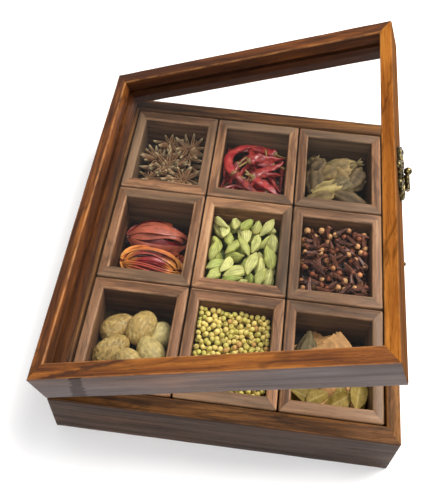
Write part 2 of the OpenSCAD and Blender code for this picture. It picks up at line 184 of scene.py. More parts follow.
def wood(
    name, stops, rough=(0.38, 0.55), coat=0.03, wear_and_highlight=0.35, fleck=0.5, vein=0.0,
    source="grain", painted_shade_and_tint=None, marks=None, gloss=0.2,
):
    """Sheesham, along x of the board in millimetres: dark streaks, rings, fine fibre and open pores."""
    m = Nodes(name)
    if source == "grain":
        g = m.add("Attribute", attribute_name="grain").outputs["Vector"]
        tone = m.add("Attribute", attribute_name="tone").outputs["Fac"]
        edge = m.add("Attribute", attribute_name="edge").outputs["Fac"]
    else:
        g = m.stretch(m.add("TexCoord").outputs["Object"], (1000, 1000, 1000))
        tone, edge = 0.0, 0.0
    warp = m.noise(m.stretch(g, (0.010, 0.03, 0.03)), 1.0, 2.0)
    figure = m.noise(m.stretch(g, (0.0042, 0.055, 0.055)), 1.0, 2.0, 0.4, 0.35)
    rings = m.math("SINE", m.math("MULTIPLY", figure, 62.0))
    streak = m.noise(m.stretch(g, (0.010, 0.19, 0.19)), 1.0, 6.0, 0.62, 0.5)
    fibre = m.noise(m.stretch(g, (0.045, 2.1, 2.1)), 1.0, 3.0, 0.6)
    dash = m.noise(m.stretch(g, (0.16, 2.9, 2.9), (31, 7, 11)), 1.0, 1.0, 0.5)
    pores = m.remap(dash, 0.60, 0.70, 0.0, 1.0, True)
    f = m.math("ADD", m.remap(streak, 0.30, 0.70, 0.0, 0.66), m.math("MULTIPLY", rings, 0.085))
    f = m.math("ADD", f, m.remap(fibre, 0.3, 0.7, -0.09, 0.09))
    f = m.math("ADD", f, m.remap(warp, 0.3, 0.7, 0.02, 0.32))
    f = m.math("ADD", f, tone, True)
    col = m.ramp(f, stops)
    if vein:
        v = m.noise(m.stretch(g, (0.013, 0.075, 0.075), (5, 3, 9)), 1.0, 3.0, 0.5, 0.9)
        v = m.remap(m.math("ABSOLUTE", m.math("SUBTRACT", v, 0.5)), 0.0, 0.05, vein, 0.0, True)
        col = m.mix(v, col, tuple(c * 0.35 for c in stops[0][1]))
    col = m.mix(m.math("MULTIPLY", pores, fleck), col, tuple(c * 0.45 for c in stops[0][1]))
    if source == "grain":
        # edges lighter: partly real wear, partly a painted highlight along the rounded edges
        wear_highlight_noise = m.noise(m.stretch(g, (0.08, 0.25, 0.25), (2, 5, 1)), 1.0, 3.0, 0.6)
        e = m.math("MULTIPLY", edge, m.remap(wear_highlight_noise, 0.38, 0.62, 0.15 * wear_and_highlight, wear_and_highlight))
        col = m.mix(e, col, tuple(min(1, c * 1.5 + 0.03) for c in stops[-1][1]))
    # Painted shade: where the face attribute is set, the colour is mixed towards the given grey-browns. On the
    # lid's front and right outer faces and the case's front face this stands in for the shade they sit in; on the
    # cups it is a random grey-brown tint per board.
    if painted_shade_and_tint:
        face = m.add("Attribute", attribute_name="face").outputs["Fac"]
        k = m.math("MULTIPLY", face, m.remap(warp, 0.3, 0.7, 0.95, 0.72))
        col = m.mix(k, col, m.mix(m.remap(streak, 0.3, 0.7, 0.0, 1.0), painted_shade_and_tint[0], painted_shade_and_tint[1]))
    if marks:
        xyz = m.add("SeparateXYZ", {0: m.stretch(m.add("TexCoord").outputs["Object"], (1000, 1000, 1000))})
        wav = m.remap(m.noise(m.stretch(g, (0.12, 0.4, 0.4)), 1.0, 3.0), 0.3, 0.7, -1.6, 1.6)
        f = m.add("Attribute", attribute_name="face").outputs["Fac"]
        x0, x1, y0 = marks
        band = m.math("ABSOLUTE", m.math("SUBTRACT", m.math("ADD", xyz.outputs[0], wav), (x0 + x1) / 2))
        band = m.remap(band, (x1 - x0) / 2 - 1.0, (x1 - x0) / 2 + 0.6, 0.95, 0.0, True)
        col = m.mix(m.math("MULTIPLY", band, f), col, (0.026, 0.010, 0.005))
        slope = m.math("MULTIPLY", m.math("SUBTRACT", xyz.outputs[0], x0 - 10), 0.22)
        line = m.math("SUBTRACT", slope, m.math("SUBTRACT", xyz.outputs[1], y0))
        line = m.math("ABSOLUTE", m.math("ADD", line, m.math("MULTIPLY", wav, 0.8)))
        line = m.remap(line, 0.3, 2.0, 0.8, 0.0, True)
        line = m.math("MULTIPLY", line, m.remap(xyz.outputs[0], x1 + 26, x1 + 34, 1.0, 0.0, True))
        col = m.mix(m.math("MULTIPLY", line, m.math("SUBTRACT", 1.0, f)), col, (0.035, 0.012, 0.006))
    r = m.remap(streak, 0.3, 0.7, rough[1], rough[0])
    r = m.math("ADD", r, m.math("MULTIPLY", pores, 0.2), True)
    h = m.math("SUBTRACT", m.math("MULTIPLY", fibre, 0.35), pores)
    return m.finish(
        {
            "Base Color": col, "Roughness": r, "Coat Weight": coat, "Coat Roughness": 0.25,
            "Specular IOR Level": gloss,
        },
        m.bump(h, 0.35, 0.00012),
    )


LID_STOPS = [(0.0, (0.050, 0.014, 0.004)), (0.28, (0.115, 0.034, 0.007)), (0.50, (0.200, 0.063, 0.011)),
             (0.74, (0.290, 0.101, 0.017)), (1.0, (0.390, 0.155, 0.029))]
# painted shade: the grey-browns the lid's front face is mixed towards
LID_PAINTED_SHADE = ((0.050, 0.035, 0.031), (0.110, 0.090, 0.090))
LID_WOOD = wood("lid_wood", LID_STOPS, vein=0.5)
# the lid's right rail: its outer face takes a painted mid-brown shade, with no gloss or coat
LID_SIDE = wood(
    "lid_side_wood", LID_STOPS, rough=(0.55, 0.7), coat=0.0, vein=0.5, gloss=0.0,
    painted_shade_and_tint=((0.062, 0.026, 0.011), (0.175, 0.078, 0.032)),
)
LID_FRONT = wood(
    "lid_front_wood", LID_STOPS, vein=0.4, painted_shade_and_tint=LID_PAINTED_SHADE,
    marks=(X0 / MM + 16.5, X0 / MM + 24.5, Y0 / MM + 1.5),
)
# case wood: its grey-brown mix on the front outer face is painted shade
CASE_WOOD = wood(
    "case_wood",
    [(0.0, (0.016, 0.007, 0.003)), (0.30, (0.048, 0.019, 0.006)), (0.52, (0.108, 0.042, 0.011)),
     (0.76, (0.185, 0.075, 0.017)), (1.0, (0.290, 0.128, 0.034))],
    wear_and_highlight=0.12, coat=0.0, gloss=0.08, vein=0.4, painted_shade_and_tint=((0.024, 0.013, 0.009), (0.066, 0.042, 0.033)),
)
# cup wood: its grey-brown mix is a random tint per board
CUP_WOOD = wood(
    "cup_wood",
    [(0.0, (0.062, 0.026, 0.011)), (0.28, (0.135, 0.060, 0.025)), (0.50, (0.225, 0.100, 0.045)),
     (0.74, (0.330, 0.158, 0.073)), (1.0, (0.450, 0.245, 0.120))],
    wear_and_highlight=0.35, fleck=0.45, vein=0.4, painted_shade_and_tint=((0.070, 0.042, 0.024), (0.235, 0.150, 0.086)),
)
PANEL_WOOD = wood(
    "panel_wood",
    [(0.0, (0.030, 0.018, 0.012)), (0.35, (0.075, 0.045, 0.028)), (0.6, (0.125, 0.078, 0.048)),
     (1.0, (0.21, 0.14, 0.085))],
    rough=(0.6, 0.75), coat=0.0, source="object",
)


def brass(name, bright, dark, rough):
    m = Nodes(name)
    p = m.add("TexCoord").outputs["Object"]
    a = m.noise(p, 190.0, 5.0, 0.6)
    b = m.noise(p, 1500.0, 3.0, 0.6)
    patch = m.math("ADD", m.math("MULTIPLY", a, 0.72), m.math("MULTIPLY", b, 0.28))
    k = m.remap(patch, 0.36, 0.66, 0.0, 1.0, True)
    return m.finish(
        {
            "Base Color": m.mix(k, dark, bright), "Metallic": 1.0,
            "Roughness": m.remap(k, 0.0, 1.0, rough[1], rough[0]),
        },
        m.bump(m.math("ADD", a, m.math("MULTIPLY", b, 0.5)), 0.15, 0.00015),
    )


BRASS = brass("old_brass", (0.185, 0.142, 0.058), (0.034, 0.028, 0.016), (0.20, 0.36))
PIN_METAL = brass("dull_pin", (0.42, 0.36, 0.24), (0.16, 0.13, 0.09), (0.3, 0.5))


def glass():
    m = Nodes("clear_glass")
    clear = m.add("BsdfTransparent", {"Color": (0.955, 0.961, 0.964, 1)})
    gloss = m.add("BsdfGlossy", {"Color": (1, 1, 1, 1), "Roughness": 0.02})
    front = m.math("SUBTRACT", 1.0, m.add("NewGeometry").outputs["Backfacing"])
    fac = m.math("MULTIPLY", m.math("MULTIPLY", m.add("Fresnel", {"IOR": 1.45}).outputs[0], 0.5), front)
    mix = m.add("MixShader", {0: fac})
    m.tree.links.new(clear.outputs[0], mix.inputs[1])
    m.tree.links.new(gloss.outputs[0], mix.inputs[2])
    m.tree.links.new(mix.outputs[0], m.out.inputs[0])
    return m.mat


GLASS = glass()

# ---------------------------------------------------------------- mesh helpers


def make_object(name, verts, quads, tris, mats, attrs=None, ngons=(), smooth_angle=None, slots=None):
    """verts in metres, in the row frame."""
    me = bpy.data.meshes.new(name)
    verts = np.asarray(verts, np.float32)
    quads = np.asarray(quads, np.int32).reshape(-1, 4)
    tris = np.asarray(tris, np.int32).reshape(-1, 3)
    loops = [quads.ravel(), tris.ravel()] + [np.asarray(n, np.int32) for n in ngons]
    sizes = [np.full(len(quads), 4), np.full(len(tris), 3), [len(n) for n in ngons]]
    sizes = np.concatenate(sizes).astype(np.int32)
    idx = np.concatenate(loops).astype(np.int32)
    me.vertices.add(len(verts))
    me.vertices.foreach_set("co", verts.ravel())
    me.loops.add(len(idx))
    me.loops.foreach_set("vertex_index", idx)
    me.polygons.add(len(sizes))
    me.polygons.foreach_set("loop_start", np.concatenate([[0], np.cumsum(sizes)[:-1]]).astype(np.int32))
    me.polygons.foreach_set("loop_total", sizes)
    me.polygons.foreach_set("use_smooth", np.ones(len(sizes), bool))
    if slots is not None:
        me.polygons.foreach_set("material_index", np.asarray(slots, np.int32))
    me.update(calc_edges=True)
    for key, (kind, data) in (attrs or {}).items():
        a = me.attributes.new(key, kind, "POINT")
        field = {"FLOAT": "value", "FLOAT_VECTOR": "vector", "FLOAT_COLOR": "color"}[kind]
        a.data.foreach_set(field, np.asarray(data, np.float32).ravel())
    if smooth_angle is not None:
        me.set_sharp_from_angle(angle=math.radians(smooth_angle))
    for mt in mats:
        me.materials.append(mt)
    me.validate()
    o = bpy.data.objects.new(name, me)
    SCENE.collection.objects.link(o)
    return o


def section(corners, seg=5, step=5.0):
    """A closed cross-section with rounded corners (x, y, r), as points and an edge mark for each."""
    pts, mark = [], []
    n = len(corners)
    arcs = []
    for i, (x, y, r) in enumerate(corners):
        p = np.array([x, y], float)
        a = np.array(corners[i - 1][:2], float) - p
        b = np.array(corners[(i + 1) % n][:2], float) - p
        a /= np.linalg.norm(a)
        b /= np.linalg.norm(b)
        if r <= 0:
            arcs.append(([p], [0.0]))
            continue
        c = p + (a + b) * r
        run, mk = [p + a * (r + 0.35)], [0.0]
        for k in range(seg + 1):
            t = k / seg * math.pi / 2
            run.append(c - b * r * math.cos(t) - a * r * math.sin(t))
            mk.append(1.0 if 0 < k < seg else 0.6)
        run.append(p + b * (r + 0.35))
        mk.append(0.0)
        arcs.append((run, mk))
    for i, (run, mk) in enumerate(arcs):
        pts += run
        mark += mk
        nxt = arcs[(i + 1) % n][0][0]
        gap = np.linalg.norm(nxt - run[-1])
        k = int(gap // step)
        for j in range(1, k + 1):
            pts.append(run[-1] + (nxt - run[-1]) * j / (k + 1))
            mark.append(0.0)
    return np.array(pts), np.array(mark)


def grid_quads(n, m, closed=False):
    """Quads of an n by m grid of points, turned one way; closed joins the last column to the first."""
    i, j = np.meshgrid(np.arange(n - 1), np.arange(m if closed else m - 1), indexing="ij")
    k = (j + 1) % m
    return np.stack([i * m + j, (i + 1) * m + j, (i + 1) * m + k, i * m + k], -1).reshape(-1, 4)


def plate_quads(n, m):
    """Quads of two n by m grids, one under the other, and of the wall between their rims."""
    top = grid_quads(n, m)
    rim = np.concatenate([
        np.arange(m), m * np.arange(1, n) + m - 1,
        (n - 1) * m + np.arange(m - 2, -1, -1), m * np.arange(n - 2, 0, -1)])
    nxt = np.roll(rim, -1)
    off = n * m
    return np.concatenate([top, top[:, ::-1] + off, np.stack([rim, nxt, nxt + off, rim + off], -1)])


def wobble(p, scale, seed):
    return noise.noise(Vector((p[0] * scale + seed, p[1] * scale - seed * 0.7, p[2] * scale + seed * 1.3)))


class Board:
    """Mitred boards in one piece. Millimetres: x along the board, y inwards from its outer face, z up."""

    def __init__(self):
        self.v, self.q, self.n, self.g, self.e, self.t, self.f = [], [], [], [], [], [], []
        self.count = 0

    def add(
        self, length, t, other, corners, place, seed, tone, corner_r=1.4, wear=0.14, step=9.0,
        mitre_gap=0.0, face=0.0, whole=False, painted_inner_shade=0.0,
    ):
        pts, mark = section(corners)
        k = other / t
        near = [0, 0.25, 0.55, 0.9, 1.4, 2.2, 3.6, 6.0]
        half = length / 2
        body = np.linspace(-half + 10, half - 10, max(2, int((length - 20) / step) + 1))
        st = np.concatenate([[-half + a for a in near], body, [half - a for a in near[::-1]]]) / half
        d, z = pts[:, 0], pts[:, 1]
        x = st[:, None] * (half - mitre_gap - k * d[None, :])
        dd = np.repeat(d[None, :], len(st), 0).copy()
        zz = np.repeat(z[None, :], len(st), 0).copy()
        # round the upright corner where two boards meet
        a = half - np.abs(x)
        out = (a < corner_r) & (dd < corner_r)
        va, vd = a - corner_r, dd - corner_r
        ln = np.hypot(va, vd)
        hit = out & (ln > corner_r)
        sc = np.where(hit, corner_r / np.maximum(ln, 1e-9), 1.0)
        na, nd = corner_r + va * sc, corner_r + vd * sc
        x = np.where(hit, np.sign(x) * (half - na), x)
        dd = np.where(hit, nd, dd)
        # wear: the edges are rubbed by uneven amounts
        cy, cz = d.mean(), z.mean()
        for i in range(len(st)):
            for j in np.nonzero(mark > 0)[0]:
                w = wobble((x[i, j] * 0.5, z[j], d[j]), 0.16, seed)
                w = w + 0.45 * wobble((x[i, j], z[j] * 2, d[j]), 0.55, seed + 9)
                amt = wear * max(0.0, 0.45 + w) * mark[j]
                dd[i, j] += amt * np.sign(cy - d[j])
                zz[i, j] += amt * np.sign(cz - z[j]) * 0.8
        v = np.stack([x, dd, zz], -1).reshape(-1, 3)
        m, n = len(st), len(pts)
        q = grid_quads(m, n, True)[:, [0, 3, 2, 1]]
        base = self.count
        self.q.append(q + base)
        self.n.append(np.arange(n)[::-1] + base)
        self.n.append(np.arange(n) + base + (m - 1) * n)
        r = np.random.default_rng(seed)
        shift = r.uniform(-400, 400, 3)
        self.g.append(np.stack([x.reshape(-1), np.tile(d, m), np.tile(z, m)], -1) + shift)
        self.e.append(np.tile(mark, m))
        top = corners[-1][1]
        # inner faces below the top edge are darkened through tone: painted shade
        self.t.append(np.tile(tone + painted_inner_shade * ((d > t - 0.45) & (z < top - 1.4)), m))
        # face: how much of the grey-brown mix a vertex takes (painted shade on lid and case faces, a random tint
        # on the cups)
        self.f.append(np.tile(np.where((d < 0.45) | whole, face, 0.0), m))
        mat = np.array(place)
        self.v.append((v * MM) @ mat[:3, :3].T + mat[:3, 3])
        self.count += m * n

    def build(self, name, mat):
        return make_object(
            name, np.concatenate(self.v), np.concatenate(self.q), [], [mat],
            {
                "grain": ("FLOAT_VECTOR", np.concatenate(self.g)),
                "edge": ("FLOAT", np.concatenate(self.e)),
                "tone": ("FLOAT", np.concatenate(self.t)),
                "face": ("FLOAT", np.concatenate(self.f)),
            },
            ngons=self.n, smooth_angle=40,
        )


def turn(deg):
    return Matrix.Rotation(math.radians(deg), 4, "Z")


def sides(w, d):
    """Where the front, right, back and left boards of a w by d frame stand, in metres."""
    return {
        "front": (Matrix.Translation((0, -d / 2 * MM, 0)), w),
        "right": (Matrix.Translation((w / 2 * MM, 0, 0)) @ turn(90), d),
        "back": (Matrix.Translation((0, d / 2 * MM, 0)) @ turn(180), w),
        "left": (Matrix.Translation((-w / 2 * MM, 0, 0)) @ turn(-90), d),
    }


# ---------------------------------------------------------------- case and lid

# radius of the rubbed outer edges, and each board's own lightness
ER = 0.95
CASE_TONE = {"front": -0.08, "right": 0.12, "back": -0.02, "left": 0.0}
LID_TONE = {"front": -0.04, "right": 0.04, "back": -0.38, "left": -0.22}
for i, (side, (at, length)) in enumerate(sides(BOX_W, BOX_D).items()):
    t, other = (END_T, SIDE_T) if side in ("front", "back") else (SIDE_T, END_T)
    # the case's front outer face takes the painted shade
    b = Board()
    b.add(
        length, t, other,
        [(0, 0, ER), (t - PANEL_LET, 0, 0.2), (t - PANEL_LET, PANEL_T, 0), (t, PANEL_T, 0),
         (t, BASE_H, ER), (0, BASE_H, ER)],
        at, 11 + i, CASE_TONE[side], face=float(side == "front"),
    )
    o = b.build(f"case_{side}", CASE_WOOD)
    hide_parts(f"case_{side}_board")
    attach(o, "case")
    # the lid's front and right outer faces take the painted shade
    b = Board()
    g0, g1 = GLASS_Z, GLASS_Z + GLASS_T
    b.add(
        length, t, other,
        [(0, 0, ER), (t, 0, ER), (t, g0, 0), (t - GLASS_LET, g0, 0), (t - GLASS_LET, g1, 0), (t, g1, 0),
         (t, LID_H, ER), (0, LID_H, ER)],
        LID_AT @ Matrix.Translation((0, 0, LID_Z * MM)) @ at, 31 + i,
        # inner faces under the glass darkened: painted shade
        LID_TONE[side], face=float(side in ("front", "right")), painted_inner_shade=-0.12,
    )
    o = b.build(f"lid_{side}", {"front": LID_FRONT, "right": LID_SIDE}.get(side, LID_WOOD))
    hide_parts(f"lid_{side}_rail")
    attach(o, "lid")

for n, o in frame["nodes"].items():
    slot = next(s["material_slot"] for s in frame["record"]["subparts"] if s["node"] == n)
    mt = {"old_brass": BRASS, "steel_pin": PIN_METAL, "glass_pane": GLASS, "wood_panel": PANEL_WOOD}.get(slot)
    if mt:
        for s in o.material_slots:
            s.material = mt
    if mt is BRASS:
        bv = o.modifiers.new("arris", "BEVEL")
        bv.width = 0.00018
        bv.segments = 2
        bv.limit_method = "ANGLE"
        bv.angle_limit = math.radians(50)

# ---------------------------------------------------------------- latch: a rolled rim and domes

lo, hi = closed_box("latch_plate")
LATCH_Y = (lo.y + hi.y) / 2 / MM
lo_n, hi_n = closed_box("latch_nails")
LATCH_Z = (lo_n.z + hi_n.z) / 2 / MM
# radius of a lobe of the scalloped edge, and how far out along it the side discs sit: both as in the CAD
LOBE = 3.0
SIDE_DISC = 0.52
LATCH_A = (hi.y - lo.y) / 2 / MM - LOBE
LATCH_B = hi.z / MM - LATCH_Z - LOBE


def lobe_place(k):
    return LATCH_A * math.cos(k * math.pi / 4), LATCH_B * math.sin(k * math.pi / 4)


def plate_edge(ang):
    """Distance from the plate's middle to its scalloped edge."""
    discs = [(k * SIDE_DISC * LATCH_A, 0.0, LATCH_B) for k in (-1, 0, 1)]
    discs += [(*lobe_place(k), LOBE) for k in range(8)]
    far = 0.0
    for y, z, r in discs:
        b = math.cos(ang) * y + math.sin(ang) * z
        c = y * y + z * z - r * r
        if b * b > c:
            far = max(far, b + math.sqrt(b * b - c))
    return far


def latch_rim(n=480, m=16, w=1.15):
    """A rolled bead round the plate, low where the hasp hangs across it."""
    ang = np.arange(n) / n * 2 * math.pi
    e = np.array([plate_edge(a) for a in ang])
    for _ in range(3):
        e = (np.roll(e, 1) + 2 * e + np.roll(e, -1)) / 4
    below = np.abs((ang + math.pi / 2 + math.pi) % (2 * math.pi) - math.pi)
    high = 1.25 * np.clip(1.6 * below / 0.62 - 0.6, 0, 1)
    a = np.arange(m) / m * 2 * math.pi
    off = (e - w + 0.05)[:, None] + w * np.cos(a)
    out = 0.62 + (0.55 + high[:, None] * (0.5 + 0.5 * np.sin(a))) * np.sin(a)
    v = np.stack([out, off * np.cos(ang)[:, None], off * np.sin(ang)[:, None]], -1).reshape(-1, 3)
    i, j = np.meshgrid(np.arange(n), np.arange(m), indexing="ij")
    i2, j2 = (i + 1) % n, (j + 1) % m
    return v, np.stack([i * m + j, i2 * m + j, i2 * m + j2, i * m + j2], -1).reshape(-1, 4)


def latch_boss(y, z, r=2.3, h=1.7, sides=28, rings=7):
    """A pressed dome with a bead round its foot, standing on the plate."""
    t = np.linspace(0, 1, rings)
    rad = np.concatenate([[r * 0.9, r * 1.12, r * 1.12, r * 0.92], r * 0.9 * np.cos(t * math.pi / 2 * 0.97)])
    out = 1.0 + np.concatenate([[-0.3, -0.1, 0.3, 0.42], 0.36 + (h - 0.36) * np.sin(t * math.pi / 2)])
    a = np.arange(sides) / sides * 2 * math.pi
    v = [out[:, None] + 0 * a, y + rad[:, None] * np.cos(a), z + rad[:, None] * np.sin(a)]
    v = np.stack(v, -1).reshape(-1, 3)
    q = grid_quads(len(rad), sides, True)[:, [0, 3, 2, 1]]
    return v, q, [list(range((len(rad) - 1) * sides, len(rad) * sides)), list(range(sides))[::-1]]


def latch_trim():
    v, q = latch_rim()
    caps = []
    for k in (1, 2, 3, 5, 7):
        bv, bq, bc = latch_boss(*[0.96 * c for c in lobe_place(k)])
        q = np.concatenate([q, bq + len(v)])
        caps += [[c + len(v) for c in cap] for cap in bc]
        v = np.concatenate([v, bv])
    v = (v + [X1 / MM, LATCH_Y, LATCH_Z]) * MM
    v = [list(LID_AT @ Vector(p)) for p in v]
    return make_object("latch_trim", v, q, [], [BRASS], ngons=caps, smooth_angle=50)


rim = latch_trim()
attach(rim, "lid")

# ---------------------------------------------------------------- cups

SPICE = {}
for body, nodes in frame["record"]["behaviour"]["bodies"].items():
    for n in nodes:
        if n.startswith("spice_"):
            SPICE[body] = n

CUPS = {}
tone_rng = np.random.default_rng(5)
for body, spice in SPICE.items():
    lo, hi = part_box(body + "_walls")
    flo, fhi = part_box(body + "_floor")
    side_t = (flo.x - lo.x) / MM
    end_t = (flo.y - lo.y) / MM
    w, d, h = (hi - lo) / MM
    centre = Matrix.Translation(((lo.x + hi.x) / 2, (lo.y + hi.y) / 2, lo.z))
    CUPS[body] = dict(
        cx=(lo.x + hi.x) / 2 / MM, cy=(lo.y + hi.y) / 2 / MM, rim=hi.z / MM, floor=fhi.z / MM,
        hx=(fhi.x - flo.x) / 2 / MM - 0.2, hy=(fhi.y - flo.y) / 2 / MM - 0.2, spice=spice,
    )
    b = Board()
    base_tone = tone_rng.uniform(-0.14, 0.14)
    for i, (side, (at, length)) in enumerate(sides(w, d).items()):
        t, other = (end_t, side_t) if side in ("front", "back") else (side_t, end_t)
        # inner walls darkened: painted shade; face gives each board a random grey-brown tint
        b.add(
            length, t, other, [(0, 0, 0.5), (t, 0, 0.4), (t, h, 1.15), (0, h, 1.15)],
            centre @ at, int(tone_rng.integers(50, 5000)), base_tone - 0.05 + tone_rng.uniform(-0.17, 0.15),
            corner_r=1.6, wear=0.2, step=7.0, mitre_gap=0.02,
            face=max(0.0, tone_rng.uniform(-0.9, 0.9)), whole=True, painted_inner_shade=-0.24,
        )
    o = b.build(body + "_frame", CUP_WOOD)
    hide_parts(body + "_walls")
    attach(o, body)

# ---------------------------------------------------------------- spices


def lin(r, g, b):
    """Screen colour to linear."""
    c = np.array([r, g, b]) / 255.0
    return np.where(c <= 0.04045, c / 12.92, ((c + 0.055) / 1.055) ** 2.4)


def blend(a, b, k):
    k = np.asarray(k, float)[..., None]
    return np.asarray(a) * (1 - k) + np.asarray(b) * k


def unit(v):
    return v / np.maximum(np.linalg.norm(v, axis=-1, keepdims=True), 1e-9)


def rough_noise(p, scale, seed):
    s = seed % 97 * 3.1
    return np.array([noise.noise(Vector((a * scale + s, b * scale - s, c * scale + 2 * s))) for a, b, c in p])


def sweep(path, rx, ry, sides, mod=None, up=(0, 0, 1)):
    """A closed tube along a path, with a pole at each end. Also gives each point's place along and around."""
    path = np.asarray(path, float)
    n = len(path)
    t = unit(np.gradient(path, axis=0))
    u = np.zeros((n, 3))
    last = np.asarray(up, float)
    for i in range(n):
        last = last - t[i] * last.dot(t[i])
        last /= np.linalg.norm(last)
        u[i] = last
    s = np.cross(t, u)
    a = np.arange(sides) / sides * 2 * math.pi
    m = np.ones((n, sides)) if mod is None else mod
    ring = (
        path[:, None]
        + s[:, None] * (np.asarray(rx)[:, None] * np.cos(a) * m)[..., None]
        + u[:, None] * (np.asarray(ry)[:, None] * np.sin(a) * m)[..., None]
    )
    ends = [path[:1] - t[:1] * rx[0] * 0.4, path[-1:] + t[-1:] * rx[-1] * 0.4]
    v = np.concatenate([ring.reshape(-1, 3)] + ends)
    q = grid_quads(n, sides, True)
    j = np.arange(sides)
    k = (j + 1) % sides
    z = n * sides
    tri = np.concatenate([
        np.stack([np.full(sides, z), j, k], -1),
        np.stack([np.full(sides, z + 1), (n - 1) * sides + k, (n - 1) * sides + j], -1),
    ])
    along = np.concatenate([np.repeat(np.linspace(0, 1, n), sides), [0, 1]])
    around = np.concatenate([np.tile(a, n), [0, 0]])
    return [v, q, tri, along, around]


def sheet(grid, th):
    """A closed thin plate round a grid of points."""
    grid = np.asarray(grid, float)
    n, m = grid.shape[:2]
    nrm = unit(np.cross(np.gradient(grid, axis=0), np.gradient(grid, axis=1)))
    th = np.broadcast_to(np.asarray(th, float), (n, m))[..., None] / 2
    v = np.concatenate([(grid + nrm * th).reshape(-1, 3), (grid - nrm * th).reshape(-1, 3)])
    q = plate_quads(n, m)
    along = np.tile(np.repeat(np.linspace(0, 1, n), m), 2)
    across = np.tile(np.tile(np.linspace(-1, 1, m), n), 2)
    return [v, q, np.zeros((0, 3), int), along, across]


def with_colour(part, col):
    return [part[0], part[1], part[2], np.broadcast_to(col, (len(part[0]), 3)).copy()]


def join(parts):
    v, q, t, c, k = [], [], [], [], 0
    for p in parts:
        v.append(p[0])
        q.append(p[1] + k)
        t.append(p[2] + k)
        c.append(p[3])
        k += len(p[0])
    return [np.concatenate(v), np.concatenate(q), np.concatenate(t), np.concatenate(c)]


def rot(yaw=0.0, pitch=0.0, roll=0.0):
    m = Matrix.Rotation(yaw, 3, "Z") @ Matrix.Rotation(pitch, 3, "Y") @ Matrix.Rotation(roll, 3, "X")
    return np.array(m)


def coriander(r):
    d = r.uniform(1.45, 1.95)
    t = np.linspace(0.03, 0.97, 8)
    x = -np.cos(t * math.pi) * d * r.uniform(1.0, 1.14)
    rad = np.sin(t * math.pi) * d
    a = np.arange(12)
    mod = 1 + 0.028 * np.cos(a * math.pi)[None, :] * np.sin(t * math.pi)[:, None]
    p = sweep(np.stack([x, 0 * x, 0 * x], -1), rad, rad * r.uniform(0.94, 1.0), 12, mod)
    c = blend(lin(236, 210, 122), lin(204, 194, 96), r.uniform(0, 1) ** 1.3) * r.uniform(0.84, 1.1)
    if r.random() < 0.05:
        c = lin(206, 160, 92) * r.uniform(0.8, 1.1)
    end = np.clip(1 - p[3] / 0.10, 0, 1)
    return with_colour(p, blend(c, lin(120, 88, 48), end * 0.75))


def clove(r):
    length = r.uniform(5.6, 8.2)
    t = np.linspace(0, 1, 7)
    x = t * length
    bend = r.uniform(-0.6, 0.6)
    rad = np.interp(t, [0, 0.08, 0.5, 0.85, 1], [0.45, 0.8, 1.0, 1.25, 1.45])
    a = np.arange(8)
    mod = 1 + 0.10 * np.cos(a * math.pi)[None, :] + 0 * t[:, None]
    p = sweep(np.stack([x, bend * np.sin(t * 2.4), 0 * x], -1), rad, rad * 0.9, 8, mod)
    dark = blend(lin(72, 40, 30), lin(112, 66, 46), r.uniform(0, 1))
    parts = [with_colour(p, dark)]
    tip = np.array([length, bend * math.sin(2.4), 0])
    spread = r.uniform(0.55, 1.0)
    for k in range(4):
        an = math.pi / 4 + k * math.pi / 2
        o = np.array([0, math.cos(an), math.sin(an)])
        path = np.stack([
            tip + o * 0.9, tip + o * (1.5 + spread * 0.5) + [0.9, 0, 0],
            tip + o * (2.0 + spread) + [1.7, 0, 0]])
        sepal = sweep(path, [0.75, 0.55, 0.15], [0.55, 0.4, 0.12], 6, up=(1, 0, 0))
        parts.append(with_colour(sepal, dark * 0.9))
    if r.random() < 0.85:
        t = np.linspace(0.06, 0.94, 6)
        d = r.uniform(1.35, 1.75)
        if r.random() < 0.6:
            c = blend(lin(184, 120, 74), lin(214, 164, 108), r.uniform(0, 1))
        else:
            c = lin(140, 78, 50)
        line = np.stack([tip[0] + 1.35 - np.cos(t * math.pi) * d, 0 * t + tip[1], 0 * t], -1)
        q = sweep(line, np.sin(t * math.pi) * d, np.sin(t * math.pi) * d, 9)
        parts.append(with_colour(q, c * r.uniform(0.8, 1.1)))
    out = join(parts)
    out[0] = (out[0] - [length / 2, 0, 0]) * r.uniform(1.15, 1.4)
    return out


def green_cardamom(r):
    length, d = r.uniform(15, 20.5), r.uniform(6.4, 8.4)
    t = np.linspace(0.0, 1, 20)
    k = np.clip(np.sin(math.pi * t ** r.uniform(0.75, 1.15)), 0, 1) ** 0.8
    rad = np.maximum(k * d / 2, 0.35)
    rad[-1], rad[0] = 0.2, 0.4
    x = t * length - length / 2
    y = r.uniform(-1, 1) * np.sin(t * math.pi) + 0.35 * np.sin(t * 7 + r.uniform(0, 6))
    a = np.arange(36) / 36 * 2 * math.pi
    ph = r.uniform(0, 6.28)
    ribs = np.where(np.arange(36) % 3 == 0, 1.0, -0.5)
    mod = 1 + (0.17 * np.cos(3 * a + ph) + 0.045 * ribs)[None, :] * k[:, None]
    mod = mod * (1 + 0.05 * np.sin(t * 17 + ph)[:, None] * np.cos(a * 2 + ph)[None, :])
    p = sweep(np.stack([x, y, 0 * x], -1), rad, rad * r.uniform(0.75, 0.95), 36, mod)
    crumple = rough_noise(p[0] * [0.5, 1, 1], 0.42, int(ph * 50))
    p[0] = p[0] * (1 + 0.11 * crumple[:, None] * [0, 1, 1])
    base = blend(lin(172, 176, 88), lin(206, 202, 130), r.uniform(0, 1)) * r.uniform(0.82, 1.05)
    base = blend(base, lin(140, 156, 70), max(0, r.uniform(-1.2, 0.7)))
    # ribs and outward bulges lighter, dents darker: painted highlight and shade
    rib = np.append(np.tile(np.where(np.arange(36) % 3 == 0, 1.0, 0.0), 20), [0, 0])
    c = blend(base * 0.72, np.minimum(base * 1.32, 1), np.clip(rib * 0.55 + 0.25 + 0.5 * crumple, 0, 1))
    ends = np.clip((np.abs(p[3] - 0.5) - 0.40) / 0.10, 0, 1)
    return with_colour(p, blend(c, lin(176, 158, 96), ends * 0.8))


